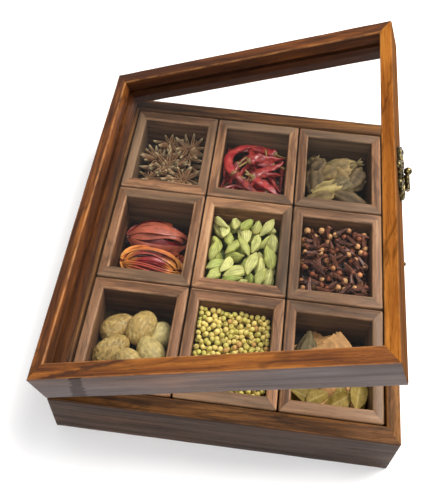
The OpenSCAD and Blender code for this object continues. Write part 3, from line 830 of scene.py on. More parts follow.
def black_cardamom(r, pale=0.0, grey=0.0):
    length, d = r.uniform(26, 32), r.uniform(14, 17)
    n, sides = 26, 54
    t = np.linspace(0, 1, n)
    k = np.clip(np.sin(math.pi * t ** 0.85), 0, 1) ** 0.62
    rad = np.maximum(k * d / 2, 0.9)
    rad[0], rad[-1] = 1.1, 0.5
    x = t * length - length / 2
    y = r.uniform(-1.6, 1.6) * np.sin(t * math.pi)
    a = np.arange(sides) / sides * 2 * math.pi
    ribs = int(r.integers(8, 12))
    ph = r.uniform(0, 6.28)
    wav = np.sin(t * 9 + ph)[:, None] * 0.25
    fold = np.abs(np.cos((a[None, :] * ribs + wav * 2) / 2 + ph))
    mod = 1 + (0.16 * (fold ** 0.8 - 0.6) + 0.08 * np.cos(3 * a + ph)[None, :]) * k[:, None]
    p = sweep(np.stack([x, y, 0 * x], -1), rad, rad * r.uniform(0.72, 0.9), sides, mod)
    wr = rough_noise(p[0] * [0.6, 1, 1], 0.42, int(ph * 100))
    p[0] = p[0] * (1 + 0.09 * wr + 0.03 * rough_noise(p[0], 1.0, int(ph * 70)))[:, None]
    base = blend(lin(150, 128, 80), lin(118, 100, 68), r.uniform(0, 1))
    base = blend(blend(base, lin(204, 184, 118), pale), lin(120, 106, 80), grey) * 0.62
    # fold ridges and outward bulges lighter, folds darker: painted highlight and shade
    f = np.append(fold.reshape(-1), [0.5, 0.5])
    c = blend(base * 0.66, np.minimum(base * 1.18, 1), np.clip(0.75 * f ** 1.5 + 0.5 * wr + 0.1, 0, 1))
    tuft, big = [], r.choice([1.0, 1.0, 2.0, 2.8])
    for i in range(7):
        an = i / 7 * 6.28 + ph
        o = np.array([0.0, math.cos(an), math.sin(an)])
        e = np.array([length / 2 - 2, 0, 0])
        pts = np.stack([
            e + o * 0.8, e + [1.5 * big, 0, 0] + o * (1.3 + 0.5 * big),
            e + [2.6 * big, 0, 0] + o * big * r.uniform(0.9, 1.9)])
        wide = 0.45 + 0.45 * big
        strand = sweep(pts, [wide * 0.8, wide, 0.15], [0.4, 0.4, 0.12], 8, up=o)
        tuft.append(with_colour(strand, base * r.uniform(0.7, 1.1)))
    return join([with_colour(p, c)] + tuft)


def husk(r, length, d, base):
    """A split, ribbed half of a dry pod, ragged at its open end."""
    n, m = 26, 21
    t, g = np.linspace(0, 1, n), np.linspace(-1, 1, m)
    reach = r.uniform(1.25, 1.75)
    rad = d / 2 * np.clip(np.sin(math.pi * np.clip(t * 0.72 + 0.03, 0, 1)), 0, 1) ** 0.6
    ph = r.uniform(0, 6)
    ga = g[None, :] * reach + 0.12 * np.sin(t * 5 + ph)[:, None]
    rib = np.cos(ga * r.integers(5, 8) + ph)
    rr = rad[:, None] * (1 + 0.10 * rib + 0.06 * np.sin(t * 13 + ph)[:, None])
    x = (t * length - length / 2)[:, None] * (1 + 0 * ga)
    x = x + (t ** 3)[:, None] * (2.2 * np.sin(ga * 5 + ph * 2) + 1.4 * np.sin(ga * 11)) * 0.9
    z = rr * np.cos(ga) * 0.85 + (t ** 4)[:, None] * r.uniform(0.5, 2.5)
    p = sheet(np.stack([x, rr * np.sin(ga), z], -1), 0.95)
    wr = rough_noise(p[0], 0.5, int(ph * 20))
    p[0] = p[0] + 0.45 * wr[:, None] * unit(p[0] * [0, 1, 1])
    # ribs and outward bulges lighter, grooves darker, rims lighter: painted highlight and shade
    k = np.tile(np.clip(rib, -1, 1).reshape(-1) * 0.5 + 0.5, 2)
    c = blend(base * 0.62, np.minimum(base * 1.2, 1), np.clip(k + 0.4 * wr, 0, 1))
    lip = np.maximum(np.clip(p[3] - 0.9, 0, 1) * 9, np.clip(np.abs(p[4]) - 0.9, 0, 1) * 9)
    return with_colour(p, blend(c, np.minimum(base * 1.6, 1), np.clip(lip, 0, 0.7)))


def nutmeg(r, length=22.0, d=17.5, crust=0.0, pale=0.0):
    n, sides = 44, 56
    t = np.linspace(0.012, 0.988, n)
    egg = 1 + 0.07 * np.cos(t * math.pi)
    x = -np.cos(t * math.pi) * length / 2
    rad = np.sin(t * math.pi) * d / 2 * egg
    p = sweep(np.stack([x, 0 * x, 0 * x], -1), rad, rad * r.uniform(0.93, 1.0), sides)
    seed = int(r.integers(0, 90))
    stretch = p[0] * [0.55, 1, 1]
    big = rough_noise(p[0], 0.11, seed)
    net = 1 - np.abs(rough_noise(stretch, 0.34 + 0.12 * crust, seed + 5)) * 2.2
    fine = rough_noise(stretch, 1.1, seed + 9)
    amp = 0.030 + 0.055 * crust
    p[0] = p[0] * (1 + 0.05 * big - amp * np.clip(net, 0, 1) ** 3 + (0.008 + 0.02 * crust) * fine)[:, None]
    base = blend(lin(162, 130, 70), lin(186, 158, 92), r.uniform(0, 1))
    base = blend(base, lin(206, 190, 128), pale)
    c = blend(base, base * (0.60 - 0.22 * crust), np.clip(net, 0, 1) ** 3)
    # lighter where the surface bulges outwards: painted highlight
    c = blend(c, lin(228, 210, 150), np.clip(fine + 0.4 * big, 0, 1) * 0.6)
    return with_colour(p, c)


def chilli(r, length, rad, bend, dry=0.5):
    n, sides = 34, 18
    t = np.linspace(0, 1, n)
    an = bend * (t - 0.35) + 0.14 * np.sin(t * r.uniform(5, 9) + r.uniform(0, 6))
    ds = length / (n - 1)
    x, y = np.cumsum(np.cos(an)) * ds, np.cumsum(np.sin(an)) * ds
    z = np.sin(t * r.uniform(3, 6) + r.uniform(0, 6)) * 0.8
    w = np.minimum(1, (t + 0.02) / 0.09) ** 0.5 * np.clip(1 - t, 0, 1) ** 0.55
    w = np.maximum(w * rad * (1 + 0.08 * np.sin(t * 17 + r.uniform(0, 6))), 0.28)
    a = np.arange(sides) / sides * 2 * math.pi
    ph = r.uniform(0, 6)
    mod = 1 + 0.16 * np.cos(a * 3 + t[:, None] * 5 + ph) * dry
    mod = mod + 0.11 * np.cos(a * 2 - t[:, None] * 19 + ph) * dry
    mod = mod + 0.05 * np.cos(a * 5 + t[:, None] * 33) * dry
    p = sweep(np.stack([x, y, z], -1), w, w * r.uniform(0.62, 0.85), sides, mod)
    red = blend(lin(158, 32, 40), lin(98, 18, 26), r.uniform(0, 1))
    # pale pink stripes along the pod: painted highlight
    c = blend(red, lin(204, 92, 70), np.clip(0.5 + 0.5 * np.sin(p[3] * 23 + p[4] * 2), 0, 1) * 0.35)
    parts = [with_colour(p, c)]
    d0 = -np.array([math.cos(an[0]), math.sin(an[0]), 0.0])
    o = p[0][:sides].mean(0)
    side = np.array([-d0[1], d0[0], 0]) * r.uniform(-3, 3)
    cap = [o - d0 * 1.6, o - d0 * 0.2, o + d0 * 1.4]
    cap = sweep(cap, [rad * 0.72, rad * 0.80, 0.8], [rad * 0.55, rad * 0.6, 0.7], 12)
    parts.append(with_colour(cap, lin(128, 96, 48)))
    if r.random() < 0.7:
        pts = [o + d0 * 1.0, o + d0 * 4 + side * 0.25 + [0, 0, 0.5], o + d0 * 8.5 + side + [0, 0, 1.0]]
        parts.append(with_colour(sweep(pts, [0.8, 0.65, 0.75], [0.8, 0.65, 0.75], 8), lin(150, 122, 66)))
    out = join(parts)
    out[0] = out[0] - (out[0].max(0) + out[0].min(0)) / 2
    return out


def star(r, size=12.0):
    parts = []
    arms = int(r.integers(7, 9))
    for i in range(arms):
        ln = size * r.uniform(0.78, 1.12)
        n, m = 12, 9
        t = np.linspace(0, 1, n)
        w = 1.75 * np.clip(np.sin(math.pi * np.clip(t, 0, 1) ** 0.72), 0, 1) ** 0.8
        w = w * r.uniform(0.8, 1.15) + 0.12
        d = 2.3 * np.clip(np.sin(math.pi * t ** 0.66), 0, 1) ** 0.7 * r.uniform(0.8, 1.1) + 0.10
        g = np.radians(np.linspace(-152, 152, m))
        rise = 2.4 * t ** 2.4 + r.uniform(-1.2, 1.2) * t
        pinch = np.interp(t, [0, 0.25, 0.8, 1], [0.2, 1, 0.8, 0.2])
        yy = w[:, None] * np.sin(g)[None, :] * np.where(np.abs(g) > 1.9, pinch[:, None] * 0.9, 1.0)
        zz = -d[:, None] * np.cos(g)[None, :] + rise[:, None]
        xx = (1.2 + t * ln)[:, None] + 0 * yy
        p = sheet(np.stack([xx, yy + (r.uniform(-1, 1) * t ** 2)[:, None], zz], -1), 0.45)
        base = blend(lin(150, 98, 62), lin(62, 42, 30), r.uniform(0, 1))
        edge = np.clip((np.abs(p[4]) - 0.72) / 0.28, 0, 1)
        c = blend(base * 0.5, lin(188, 146, 104), edge * 0.5)
        c = blend(c, lin(206, 190, 146), np.clip(p[3] - 0.66, 0, 1) * 1.7)
        arm = [with_colour(p, c)]
        if r.random() < 0.6:
            s = np.linspace(0.05, 0.95, 6)
            line = np.stack([1.2 + ln * 0.5 - np.cos(s * math.pi) * 2.4, 0 * s, 0.3 + 0 * s], -1)
            seed = sweep(line, np.sin(s * math.pi) * 0.95, np.sin(s * math.pi) * 1.3, 8)
            arm.append(with_colour(seed, lin(96, 52, 26)))
        m3 = rot(i / arms * 2 * math.pi + r.uniform(-0.12, 0.12), r.uniform(-0.15, 0.15))
        for p in arm:
            p[0] = p[0] @ m3.T
        parts += arm
    wide = [1.2, 1.9, 0.8]
    hub = sweep([[0, 0, -1.8], [0, 0, 0], [0, 0, 1.2]], wide, wide, 10, up=(1, 0, 0))
    parts.append(with_colour(hub, lin(92, 60, 40)))
    if r.random() < 0.5:
        wide = [0.7, 0.6, 0.7]
        stalk = sweep([[0, 0, -1.5], [1, 0.5, -5], [2.5, 1.5, -9]], wide, wide, 7, up=(1, 0, 0))
        parts.append(with_colour(stalk, lin(120, 88, 60)))
    return join(parts)


def mace(r, a, b, c, arcs, strips, tips, core, wide=1.0):
    """Strips of aril that run from end to end over an egg shape, joined at the ends."""
    parts = []
    total = sum(hi - lo for lo, hi in arcs)
    places = []
    for lo, hi in arcs:
        k = max(1, round(strips * (hi - lo) / total))
        places += [(lo + (hi - lo) * (i + 0.5) / k, (hi - lo) / k / 2) for i in range(k)]
    for i, (mid, reach) in enumerate(places):
        ph0 = math.radians(mid + r.uniform(-4, 4))
        n, m = 30, 7
        t = np.linspace(0, 1, n)
        th = math.radians(7) + t * math.radians(r.uniform(158, 170))
        k = 1 + r.uniform(-0.07, 0.08) + 0.06 * np.sin(t * r.uniform(7, 12) + r.uniform(0, 6))
        half = wide * r.uniform(0.8, 1.2) * reach
        half = np.radians(half) * (0.62 + 0.42 * np.sin(t * r.uniform(6, 11) + r.uniform(0, 6)) * 0.5 + 0.38)
        ph = ph0 + 0.16 * np.sin(t * r.uniform(3, 7) + r.uniform(0, 6))
        s = np.linspace(-1, 1, m)
        pp = ph[:, None] + half[:, None] * s[None, :]
        rr = k[:, None] * (1 + 0.07 * (s ** 2)[None, :] * r.uniform(-0.6, 1.6))
        g = np.stack([
            a * np.cos(th)[:, None] * rr * (1 + 0 * pp),
            b * np.sin(th)[:, None] * np.cos(pp) * rr,
            c * np.sin(th)[:, None] * np.sin(pp) * rr,
        ], -1)
        p = sheet(g, 0.85)
        end = np.abs(p[3] - 0.5) * 2
        mixv = np.clip((end - 0.35 + 0.18 * rough_noise(p[0], 0.35, i)) / 0.4, 0, 1)
        col = blend(core * r.uniform(0.75, 1.2), tips * r.uniform(0.85, 1.1), mixv)
        col = blend(col, np.minimum(col * 1.35, 1), np.clip(np.abs(p[4]) - 0.6, 0, 1))
        parts.append(with_colour(p, col))
    return join(parts)


def bark(r, length, width, curl, th=1.5):
    n, m = 20, 12
    t, s = np.linspace(-0.5, 0.5, n), np.linspace(-0.5, 0.5, m)
    ta, sa = np.meshgrid(t, s, indexing="ij")
    rag = np.array([
        [noise.noise(Vector((i * 0.9 + length, float(np.sign(a)), width))) for i in range(m)]
        for a in t])
    x = ta * length * (1 + 0.13 * rag * np.abs(ta) * 2)
    w = width * (1 + 0.10 * np.sin(ta * 7 + length))
    if abs(curl) > 0.05:
        rad = width / curl
        y, z = rad * np.sin(sa * w / rad), -rad * (1 - np.cos(sa * w / rad)) * 1.0
    else:
        y, z = sa * w, 0 * sa
    z = z + 0.35 * np.sin(ta * 9 + sa * 3) + 0.25 * rag
    p = sheet(np.stack([x, y, z], -1), th)
    base = blend(lin(190, 144, 88), lin(150, 106, 62), r.uniform(0, 1))
    grain = np.clip(0.5 + 0.5 * rough_noise(p[0] * [0.12, 1, 1], 1.1, int(length)) * 2, 0, 1)
    return with_colour(p, blend(base * 0.8, np.minimum(base * 1.2, 1), grain))


def leaf(r, length, width, tone):
    n, m = 26, 11
    t, s = np.linspace(0, 1, n), np.linspace(-1, 1, m)
    w = width / 2 * np.clip(np.sin(math.pi * t ** 0.9), 0, 1) ** 0.75 + 0.15
    x = (t * length - length / 2)[:, None] + 0 * s[None, :]
    y = w[:, None] * s[None, :]
    z = -0.05 * length * np.cos(t * 3.1)[:, None] * r.uniform(-1, 1)
    z = z + (np.abs(s) ** 1.3)[None, :] * w[:, None] * r.uniform(0.15, 0.5)
    z = z + 0.35 * np.sin(t * 24)[:, None] * np.abs(s)[None, :]
    p = sheet(np.stack([x, y, z], -1), 0.42)
    vein = np.clip(1 - np.abs(p[4]) / 0.16, 0, 1)
    side = np.clip(np.cos((p[3] * 9 - np.abs(p[4]) * 1.6) * 6.28) - 0.8, 0, 1) * 3
    c = blend(tone * r.uniform(0.8, 1.15), lin(176, 156, 96), np.clip(vein + side, 0, 1) * 0.6)
    return with_colour(p, c)


def stick(r, length, rad, col):
    n = 14
    t = np.linspace(0, 1, n)
    pts = np.stack([t * length - length / 2, 0.8 * np.sin(t * 4 + r.uniform(0, 6)), 0.5 * np.sin(t * 5)], -1)
    a = np.arange(12)
    mod = 1 + 0.10 * np.sin(a * 2.1 + 9 * t[:, None])
    return with_colour(sweep(pts, np.full(n, rad), np.full(n, rad * 0.85), 12, mod), col)


class Heap:
    """Pieces dropped into a cup one by one: each takes the lowest rest of several random tries."""

    CELL = 0.55

    def __init__(self, cup, seed, surf, depth, bump, colour):
        self.c = cup
        self.surf = surf
        self.r = np.random.default_rng(seed)
        self.nx, self.ny = int(2 * cup["hx"] / self.CELL) + 1, int(2 * cup["hy"] / self.CELL) + 1
        x = np.linspace(-cup["hx"], cup["hx"], self.nx)
        y = np.linspace(-cup["hy"], cup["hy"], self.ny)
        self.x, self.y = np.meshgrid(x, y, indexing="ij")
        self.h = np.full(self.x.shape, cup["floor"] + 0.2)
        level = cup["floor"] + np.maximum(surf(self.x / cup["hx"], self.y / cup["hy"]) - depth, 0.6)
        for _ in range(int(3.2 * (2 * cup["hx"]) * (2 * cup["hy"]) / (math.pi * bump * bump))):
            bx, by = self.r.uniform(x[0], x[-1]), self.r.uniform(y[0], y[-1])
            d2 = (self.x - bx) ** 2 + (self.y - by) ** 2
            cap = level + np.sqrt(np.maximum(bump * bump - d2, 0)) - bump * self.r.uniform(0.9, 1.4)
            self.h = np.maximum(self.h, np.where(d2 < bump * bump, cap, 0))
        # the bed under the pieces takes a darkened spice colour: painted shade in the gaps between pieces
        self.parts = [self.bed(colour)]

    def bed(self, colour):
        top = np.stack([self.x, self.y, self.h], -1).reshape(-1, 3)
        low = np.stack([self.x, self.y, 0 * self.h + self.c["floor"] + 0.05], -1).reshape(-1, 3)
        v, q = np.concatenate([top, low]), plate_quads(self.nx, self.ny)
        return with_colour([v, q, np.zeros((0, 3), int)], colour)

    def drop(
        self, item, tries=30, area=None, yaw=None, pitch=0.5, roll=math.pi, sink=0.35,
        at=None, spread=1.2, over=3.0,
    ):
        """Add item at the best of several tries, near at if that is given. False when none fitted."""
        wide = 1.0
        if at is None:
            span = (item[0].max(0) - item[0].min(0)).max()
            wide = min(1.0, 1.9 * min(self.c["hx"], self.c["hy"]) / span)
        item[0] = item[0] * wide
        v, q = item[0], item[1]
        s = np.concatenate([v, v[q].mean(1)]) if len(q) else v
        hx, hy = self.c["hx"], self.c["hy"]
        ax0, ax1, ay0, ay1 = area or (-1, 1, -1, 1)
        best = None
        for _ in range(tries):
            y0, y1 = yaw if yaw is not None else (0, 2 * math.pi)
            m3 = rot(self.r.uniform(y0, y1), self.r.uniform(-pitch, pitch), self.r.uniform(-roll, roll))
            p = s @ m3.T
            lo, hi = p.min(0), p.max(0)
            if hi[0] - lo[0] > 2 * hx or hi[1] - lo[1] > 2 * hy:
                continue
            if at is None:
                px, py = self.r.uniform(ax0, ax1) * hx, self.r.uniform(ay0, ay1) * hy
            else:
                px, py = at[0] * hx + self.r.normal(0, spread), at[1] * hy + self.r.normal(0, spread)
            px = min(max(px, -hx - lo[0]), hx - hi[0])
            py = min(max(py, -hy - lo[1]), hy - hi[1])
            ix = np.clip(((p[:, 0] + px + hx) / self.CELL).astype(int), 0, self.nx - 1)
            iy = np.clip(((p[:, 1] + py + hy) / self.CELL).astype(int), 0, self.ny - 1)
            z = (self.h[ix, iy] - p[:, 2]).max() - sink
            z = max(z, self.c["floor"] + 0.1 - lo[2])
            aim = self.c["floor"] + self.surf(px / hx, py / hy)
            excess = z + hi[2] - min(aim + over, self.c["top"])
            if excess > 0:
                if at is None:
                    continue
                z -= excess
            cost = z - aim + 3 * max(excess, 0)
            if best is None or cost < best[0]:
                best = (cost, m3, px, py, z, ix, iy, p[:, 2] + z)
        if best is None:
            return False
        _, m3, px, py, z, ix, iy, up = best
        np.maximum.at(self.h, (ix, iy), up)
        self.parts.append([v @ m3.T + [px, py, z], item[1], item[2], item[3]])
        return True

    def build(self, name, mat):
        v, q, t, c = join(self.parts)
        v = (v + [self.c["cx"], self.c["cy"], 0]) * MM
        col = np.concatenate([np.clip(c, 0, 1), np.ones((len(c), 1))], 1)
        name_out = name.replace("spice", "heap")
        o = make_object(name_out, v, q, t, [mat], {"col": ("FLOAT_COLOR", col)}, smooth_angle=65)
        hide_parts(name)
        return o


def spice_mat(
    name, rough, coat, mottle, amount, bump, strength, spot=(0.25, 0.16, 0.09), spots=0.0, coat_rough=0.15,
):
    """Colour from the vertices, broken up by mottling, small spots and a fine skin."""
    m = Nodes(name)
    base = m.add("Attribute", attribute_name="col").outputs["Color"]
    p = m.stretch(m.add("TexCoord").outputs["Object"], (1000, 1000, 1000))
    a = m.noise(p, mottle, 4.0, 0.6)
    b = m.noise(p, bump, 4.0, 0.6, 0.3)
    k = m.remap(a, 0.3, 0.7, 1 - amount, 1 + amount)
    col = m.mix(1.0, base, m.add("CombineColor", {0: k, 1: k, 2: k}).outputs[0], "MULTIPLY")
    if spots:
        s = m.remap(m.noise(p, bump * 0.8, 2.0, 0.5, 0.8), 0.58, 0.68, 0.0, spots, True)
        col = m.mix(s, col, spot)
    return m.finish(
        {
            "Base Color": col, "Roughness": m.remap(b, 0.3, 0.7, rough - 0.08, rough + 0.08),
            "Coat Weight": coat, "Coat Roughness": coat_rough, "Specular IOR Level": 0.25,
        },
        m.bump(b, strength, 0.0003),
    )


# Each heap's bed colour is its spice's colour darkened: painted shade between the pieces.
def fill_star_anise(c):
    h = Heap(c, 101, lambda x, y: 23.5 - 8 * np.maximum(0, y - 0.3) + 0 * x, 12, 5.0, lin(58, 40, 28) * 0.6)
    for _ in range(16):
        h.drop(star(h.r, 11.0), 40, pitch=0.6, roll=0.6, sink=3.5, over=3)
    for _ in range(15):
        at = (h.r.uniform(-0.8, 0.8), h.r.uniform(-0.9, 0.55))
        h.drop(star(h.r, h.r.uniform(11.5, 14)), 6, pitch=1.25, roll=1.25, sink=4.5, over=4, at=at, spread=2)
    return h


def fill_red_chilli(c):
    h = Heap(c, 202, lambda x, y: 21.0 - 4 * np.maximum(0, y - 0.3) + 0 * x, 12, 5.0, lin(70, 18, 18) * 0.4)
    for _ in range(18):
        pod = chilli(h.r, h.r.uniform(24, 38), h.r.uniform(2.8, 4.0), h.r.uniform(-1.6, 1.6), 0.9)
        h.drop(pod, 60, pitch=0.45, roll=3.1, sink=1.2)
    for at, yaw in (
        ((0.35, 0.0), (0.4, 0.7)), ((0.25, -0.5), (-0.9, -0.6)), ((0.6, -0.2), (0.2, 0.5)),
        ((-0.1, -0.6), (-0.9, -0.6)), ((0.3, 0.35), (0.1, 0.5)),
    ):
        pod = chilli(h.r, h.r.uniform(22, 33), h.r.uniform(3.2, 4.2), h.r.uniform(-0.8, 0.8), 1.0)
        h.drop(pod, 60, at=at, yaw=yaw, pitch=0.35, roll=3.1, sink=1.2, over=5)
    long_pod = chilli(h.r, 56, 4.0, -2.8, 0.4)
    place = dict(at=(-0.42, 0.28), yaw=(1.55, 1.8), spread=1.5)
    h.drop(long_pod, 60, pitch=0.14, roll=0.14, sink=2.2, over=8, **place)
    return h


def fill_black_cardamom(c):
    def surf(x, y):
        return 23.0 - 6 * np.maximum(0, y - 0.4) - 3 * np.maximum(0, x - 0.5)

    h = Heap(c, 303, surf, 16, 7.0, lin(60, 56, 40) * 0.4)
    for _ in range(5):
        h.drop(black_cardamom(h.r), 60, pitch=0.5, sink=1.5, area=(-1, 1, -1, 0.6), over=0)
    khaki, dull, straw = lin(128, 106, 66), lin(94, 76, 50), lin(158, 138, 86)
    pod = black_cardamom(h.r, 0.1, 0.0)
    h.drop(pod, 90, at=(0.15, 0.38), yaw=(0.4, 0.7), pitch=0.4, sink=2.0, over=4, spread=1.5)
    pod = black_cardamom(h.r, 0.0, 0.4)
    h.drop(pod, 90, at=(0.35, -0.30), yaw=(0.6, 1.0), pitch=0.4, sink=2.0, over=2, spread=1.5)
    for at, yaw, col, length in (
        ((-0.75, 0.35), (1.0, 1.4), dull, 20), ((0.72, 0.05), (0.9, 1.3), dull, 22),
        ((-0.1, 0.15), (0.5, 0.8), khaki, 24), ((-0.78, -0.25), (1.5, 1.9), dull, 22),
        ((0.45, -0.62), (-0.4, 0.1), dull, 22), ((-0.25, -0.42), (0.4, 0.8), straw, 22),
        ((0.2, 0.05), (2.2, 2.6), khaki, 20), ((-0.7, -0.8), (0.2, 0.6), khaki, 20),
    ):
        half = husk(h.r, length, h.r.uniform(13, 16), col * h.r.uniform(0.85, 1.1))
        h.drop(half, 60, at=at, yaw=yaw, pitch=0.5, roll=0.7, sink=2.5, over=5, spread=1.5)
    return h


def fill_mace(c):
    h = Heap(c, 404, lambda x, y: 19.5 + 0 * x, 16, 5.0, lin(60, 18, 14) * 0.5)
    red, dark, gold, rust = lin(166, 84, 62), lin(116, 24, 24), lin(232, 154, 74), lin(150, 62, 46)
    for _ in range(3):
        scrap = mace(h.r, 15, 9, 5, [(-40, 220)], 8, lin(190, 92, 50), dark, 0.8)
        h.drop(scrap, 40, pitch=0.2, roll=0.4, sink=2.5)
    back = join([
        mace(h.r, 20.5, 13.0, 10, [(-20, 62), (72, 118), (128, 205)], 7, red * 1.1, red * 0.85, 0.98),
        mace(h.r, 18.5, 10.5, 7.5, [(0, 180)], 5, dark, dark * 0.7, 0.9),
    ])
    front = join([
        mace(h.r, 21.0, 14.0, 11, [(-25, 52), (142, 205)], 7, gold, lin(204, 114, 58), 0.72),
        mace(h.r, 19.5, 12.0, 9.8, [(-10, 74), (112, 190)], 8, gold, rust, 0.62),
        mace(h.r, 17.5, 10.0, 8.6, [(0, 180)], 9, gold * 0.8, dark * 1.2, 0.55),
        mace(h.r, 14.0, 7.5, 6.5, [(0, 180)], 7, dark, dark * 0.6, 0.7),
    ])
    for piece in (back, front):
        piece[0] *= 1.93 * c["hx"] / np.ptp(piece[0][:, 0])
    h.drop(back, 60, at=(0.0, 0.35), yaw=(-0.05, 0.02), pitch=0.05, roll=0.1, sink=3, over=5, spread=0.8)
    h.drop(front, 60, at=(-0.05, -0.5), yaw=(-0.05, 0.02), pitch=0.05, roll=0.1, sink=3, over=6, spread=0.8)
    return h


def fill_green_cardamom(c):
    h = Heap(c, 505, lambda x, y: 26.5 - 5 * np.maximum(0, y - 0.5) + 0 * x, 12, 4.0, lin(96, 108, 50) * 0.5)
    for i in range(150):
        h.drop(green_cardamom(h.r), 60, pitch=0.9, sink=1.3, over=4.5, yaw=(0.9, 2.2) if i % 3 else None)
    for _ in range(40):
        h.drop(green_cardamom(h.r), 60, pitch=0.8, sink=3.0, over=3.5)
    return h


def fill_clove(c):
    def surf(x, y):
        return 24.0 - 4 * np.maximum(0, y - 0.5) - 3 * np.maximum(0, x - 0.6)

    h = Heap(c, 606, surf, 9, 2.5, lin(48, 28, 22) * 0.5)
    for _ in range(330):
        h.drop(clove(h.r), 22, pitch=1.2, sink=0.9, over=4.0)
    for _ in range(80):
        h.drop(clove(h.r), 40, pitch=1.0, sink=2.2, over=2.5)
    return h


def fill_nutmeg(c):
    h = Heap(c, 707, lambda x, y: 23.5 - 4 * np.maximum(0, y - 0.6) + 0 * x, 17, 8.0, lin(96, 74, 46) * 0.4)
    for at, yaw, args in (
        ((0.85, 0.4), (1.3, 1.6), dict(pale=0.8, length=20, d=16)),
        ((0.6, -0.8), (0.0, 0.4), dict(length=20, d=16)),
        ((-0.5, -0.9), (0.0, 0.4), dict(length=20, d=16)),
        ((-0.62, 0.36), (0.6, 0.8), dict(crust=0.55, length=25)),
        ((0.05, 0.56), (1.2, 1.5), dict(length=25, d=18.5)),
        ((-0.82, -0.12), (0.7, 1.0), dict(crust=1.0, length=26, d=17.5)),
        ((0.58, -0.06), (1.9, 2.2), dict(length=26, d=18, pale=0.4)),
        ((0.0, -0.28), (-0.9, -0.6), dict(length=22, d=16.5, pale=0.2)),
    ):
        h.drop(nutmeg(h.r, **args), 60, at=at, yaw=yaw, pitch=0.35, roll=3.1, sink=1.0, over=5, spread=2)
    return h


def fill_coriander(c):
    h = Heap(
        c, 808, lambda x, y: 23.5 - 3.2 * x - 2 * np.maximum(0, y - 0.6), 8, 2.4, lin(150, 136, 70) * 0.4)
    for _ in range(1100):
        h.drop(coriander(h.r), 12, pitch=1.5, sink=0.3, over=1.5)
    for _ in range(200):
        h.drop(coriander(h.r), 30, pitch=1.5, sink=1.2, over=1.0)
    return h


def fill_bark_and_leaf(c):
    h = Heap(c, 909, lambda x, y: 22.0 - 6 * np.maximum(0, y - 0.5) + 0 * x, 12, 6.0, lin(60, 44, 30) * 0.4)
    olive = lin(126, 106, 48)
    for _ in range(6):
        piece = bark(h.r, h.r.uniform(22, 30), h.r.uniform(10, 14), h.r.uniform(0.3, 1.2))
        h.drop(piece, 40, pitch=0.3, roll=0.4, sink=0.8, over=0)
    for _ in range(4):
        piece = leaf(h.r, h.r.uniform(24, 34), h.r.uniform(10, 13), olive)
        h.drop(piece, 40, pitch=0.3, roll=0.5, sink=0.5, area=(-1, 1, -1, -0.2), over=2)
    pod = black_cardamom(h.r, 0.2, 0.5)
    h.drop(pod, 60, at=(-0.8, 0.3), yaw=(1.4, 1.7), pitch=0.3, sink=2.0, over=6, spread=2)
    for at, yaw in (((-0.15, 0.3), (0.5, 0.8)), ((0.5, 0.25), (-0.9, -0.6)), ((0.15, 0.05), (-0.3, 0.1))):
        piece = bark(h.r, h.r.uniform(25, 31), h.r.uniform(13, 17), 0.5, 1.9)
        h.drop(piece, 60, at=at, yaw=yaw, pitch=0.35, roll=0.45, sink=1.2, over=6)
    for at, yaw in (((0.5, -0.8), (-1.3, -1.0)), ((-0.2, -0.8), (0.3, 0.6)), ((0.8, -0.6), (1.1, 1.4))):
        piece = stick(h.r, h.r.uniform(18, 26), 1.5, lin(200, 152, 94))
        h.drop(piece, 50, at=at, yaw=yaw, pitch=0.4, sink=0.5, over=6)
    for _ in range(4):
        piece = leaf(h.r, h.r.uniform(16, 24), h.r.uniform(8, 11), olive)
        h.drop(piece, 40, pitch=0.6, roll=0.8, sink=0.5, area=(-1, 1, -1, -0.4), over=4)
    return h


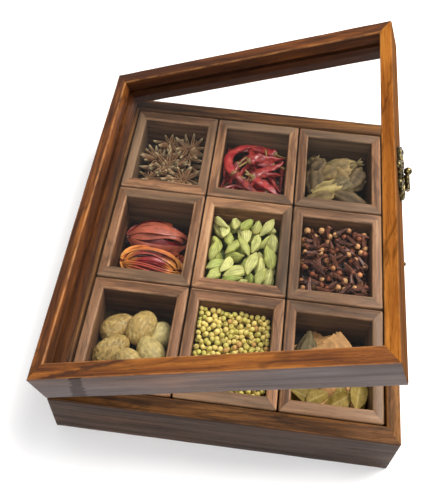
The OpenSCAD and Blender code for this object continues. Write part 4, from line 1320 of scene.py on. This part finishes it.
FILLS = {
    "spice_star_anise": (fill_star_anise, spice_mat("star_anise_skin", 0.62, 0.05, 0.35, 0.35, 1.6, 0.35)),
    "spice_red_chilli": (fill_red_chilli, spice_mat("chilli_skin", 0.30, 0.55, 0.18, 0.30, 0.9, 0.30)),
    "spice_black_cardamom": (fill_black_cardamom, spice_mat("dry_pod_skin", 0.66, 0.0, 0.25, 0.30, 1.8, 0.5)),
    "spice_mace": (fill_mace, spice_mat("mace_skin", 0.42, 0.25, 0.22, 0.30, 1.2, 0.35)),
    "spice_green_cardamom": (
        fill_green_cardamom, spice_mat("green_pod_skin", 0.58, 0.05, 0.30, 0.16, 2.4, 0.35)),
    "spice_clove": (fill_clove, spice_mat("clove_skin", 0.50, 0.15, 0.5, 0.35, 2.4, 0.4)),
    "spice_nutmeg": (
        fill_nutmeg,
        spice_mat("nutmeg_skin", 0.60, 0.05, 0.22, 0.18, 1.3, 0.4, spot=(0.22, 0.15, 0.08), spots=0.05)),
    "spice_coriander": (fill_coriander, spice_mat("coriander_skin", 0.55, 0.1, 0.6, 0.14, 2.5, 0.3)),
    "spice_bark_and_leaf": (fill_bark_and_leaf, spice_mat("bark_skin", 0.66, 0.0, 0.30, 0.24, 1.7, 0.5)),
}
for body, cup in CUPS.items():
    cup["top"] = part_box(cup["spice"])[1].z / MM + 1.5
    make, mat = FILLS[cup["spice"]]
    heap = make(cup)
    piece = heap.build(cup["spice"], mat)
    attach(piece, body)

# ---------------------------------------------------------------- floor and light

me = bpy.data.meshes.new("floor")
half = 6.0
me.from_pydata([(-half, -half, 0), (half, -half, 0), (half, half, 0), (-half, half, 0)], [], [(0, 1, 2, 3)])
floor = bpy.data.objects.new("floor", me)
SCENE.collection.objects.link(floor)
floor.location.z = -0.0002
m = Nodes("pale_floor")
pale = {"Base Color": (0.90, 0.90, 0.91, 1), "Roughness": 0.8}
glow = {"Emission Color": (1, 1, 1, 1), "Emission Strength": 0.14}
me.materials.append(m.finish({**pale, **glow}))

world = bpy.data.worlds.new("studio")
SCENE.world = world
world.use_nodes = True
world.node_tree.nodes["Background"].inputs[0].default_value = (1.0, 1.0, 1.0, 1)
world.node_tree.nodes["Background"].inputs[1].default_value = 0.5


def area(name, loc, target, size, watts, colour=(1, 1, 1)):
    l = bpy.data.lights.new(name, "AREA")
    l.shape = "RECTANGLE"
    l.size, l.size_y = size
    l.energy = watts
    l.color = colour
    o = bpy.data.objects.new(name, l)
    SCENE.collection.objects.link(o)
    o.location = loc
    o.rotation_euler = (Vector(target) - Vector(loc)).to_track_quat("-Z", "Y").to_euler()
    return o


area("key", (0.52, 0.40, 1.15), (0, 0, 0.03), (0.85, 0.85), 27.0, (1.0, 0.97, 0.93))
area("front_soft", (-0.25, -0.9, 1.0), (0, 0, 0.05), (1.2, 0.8), 7.0)
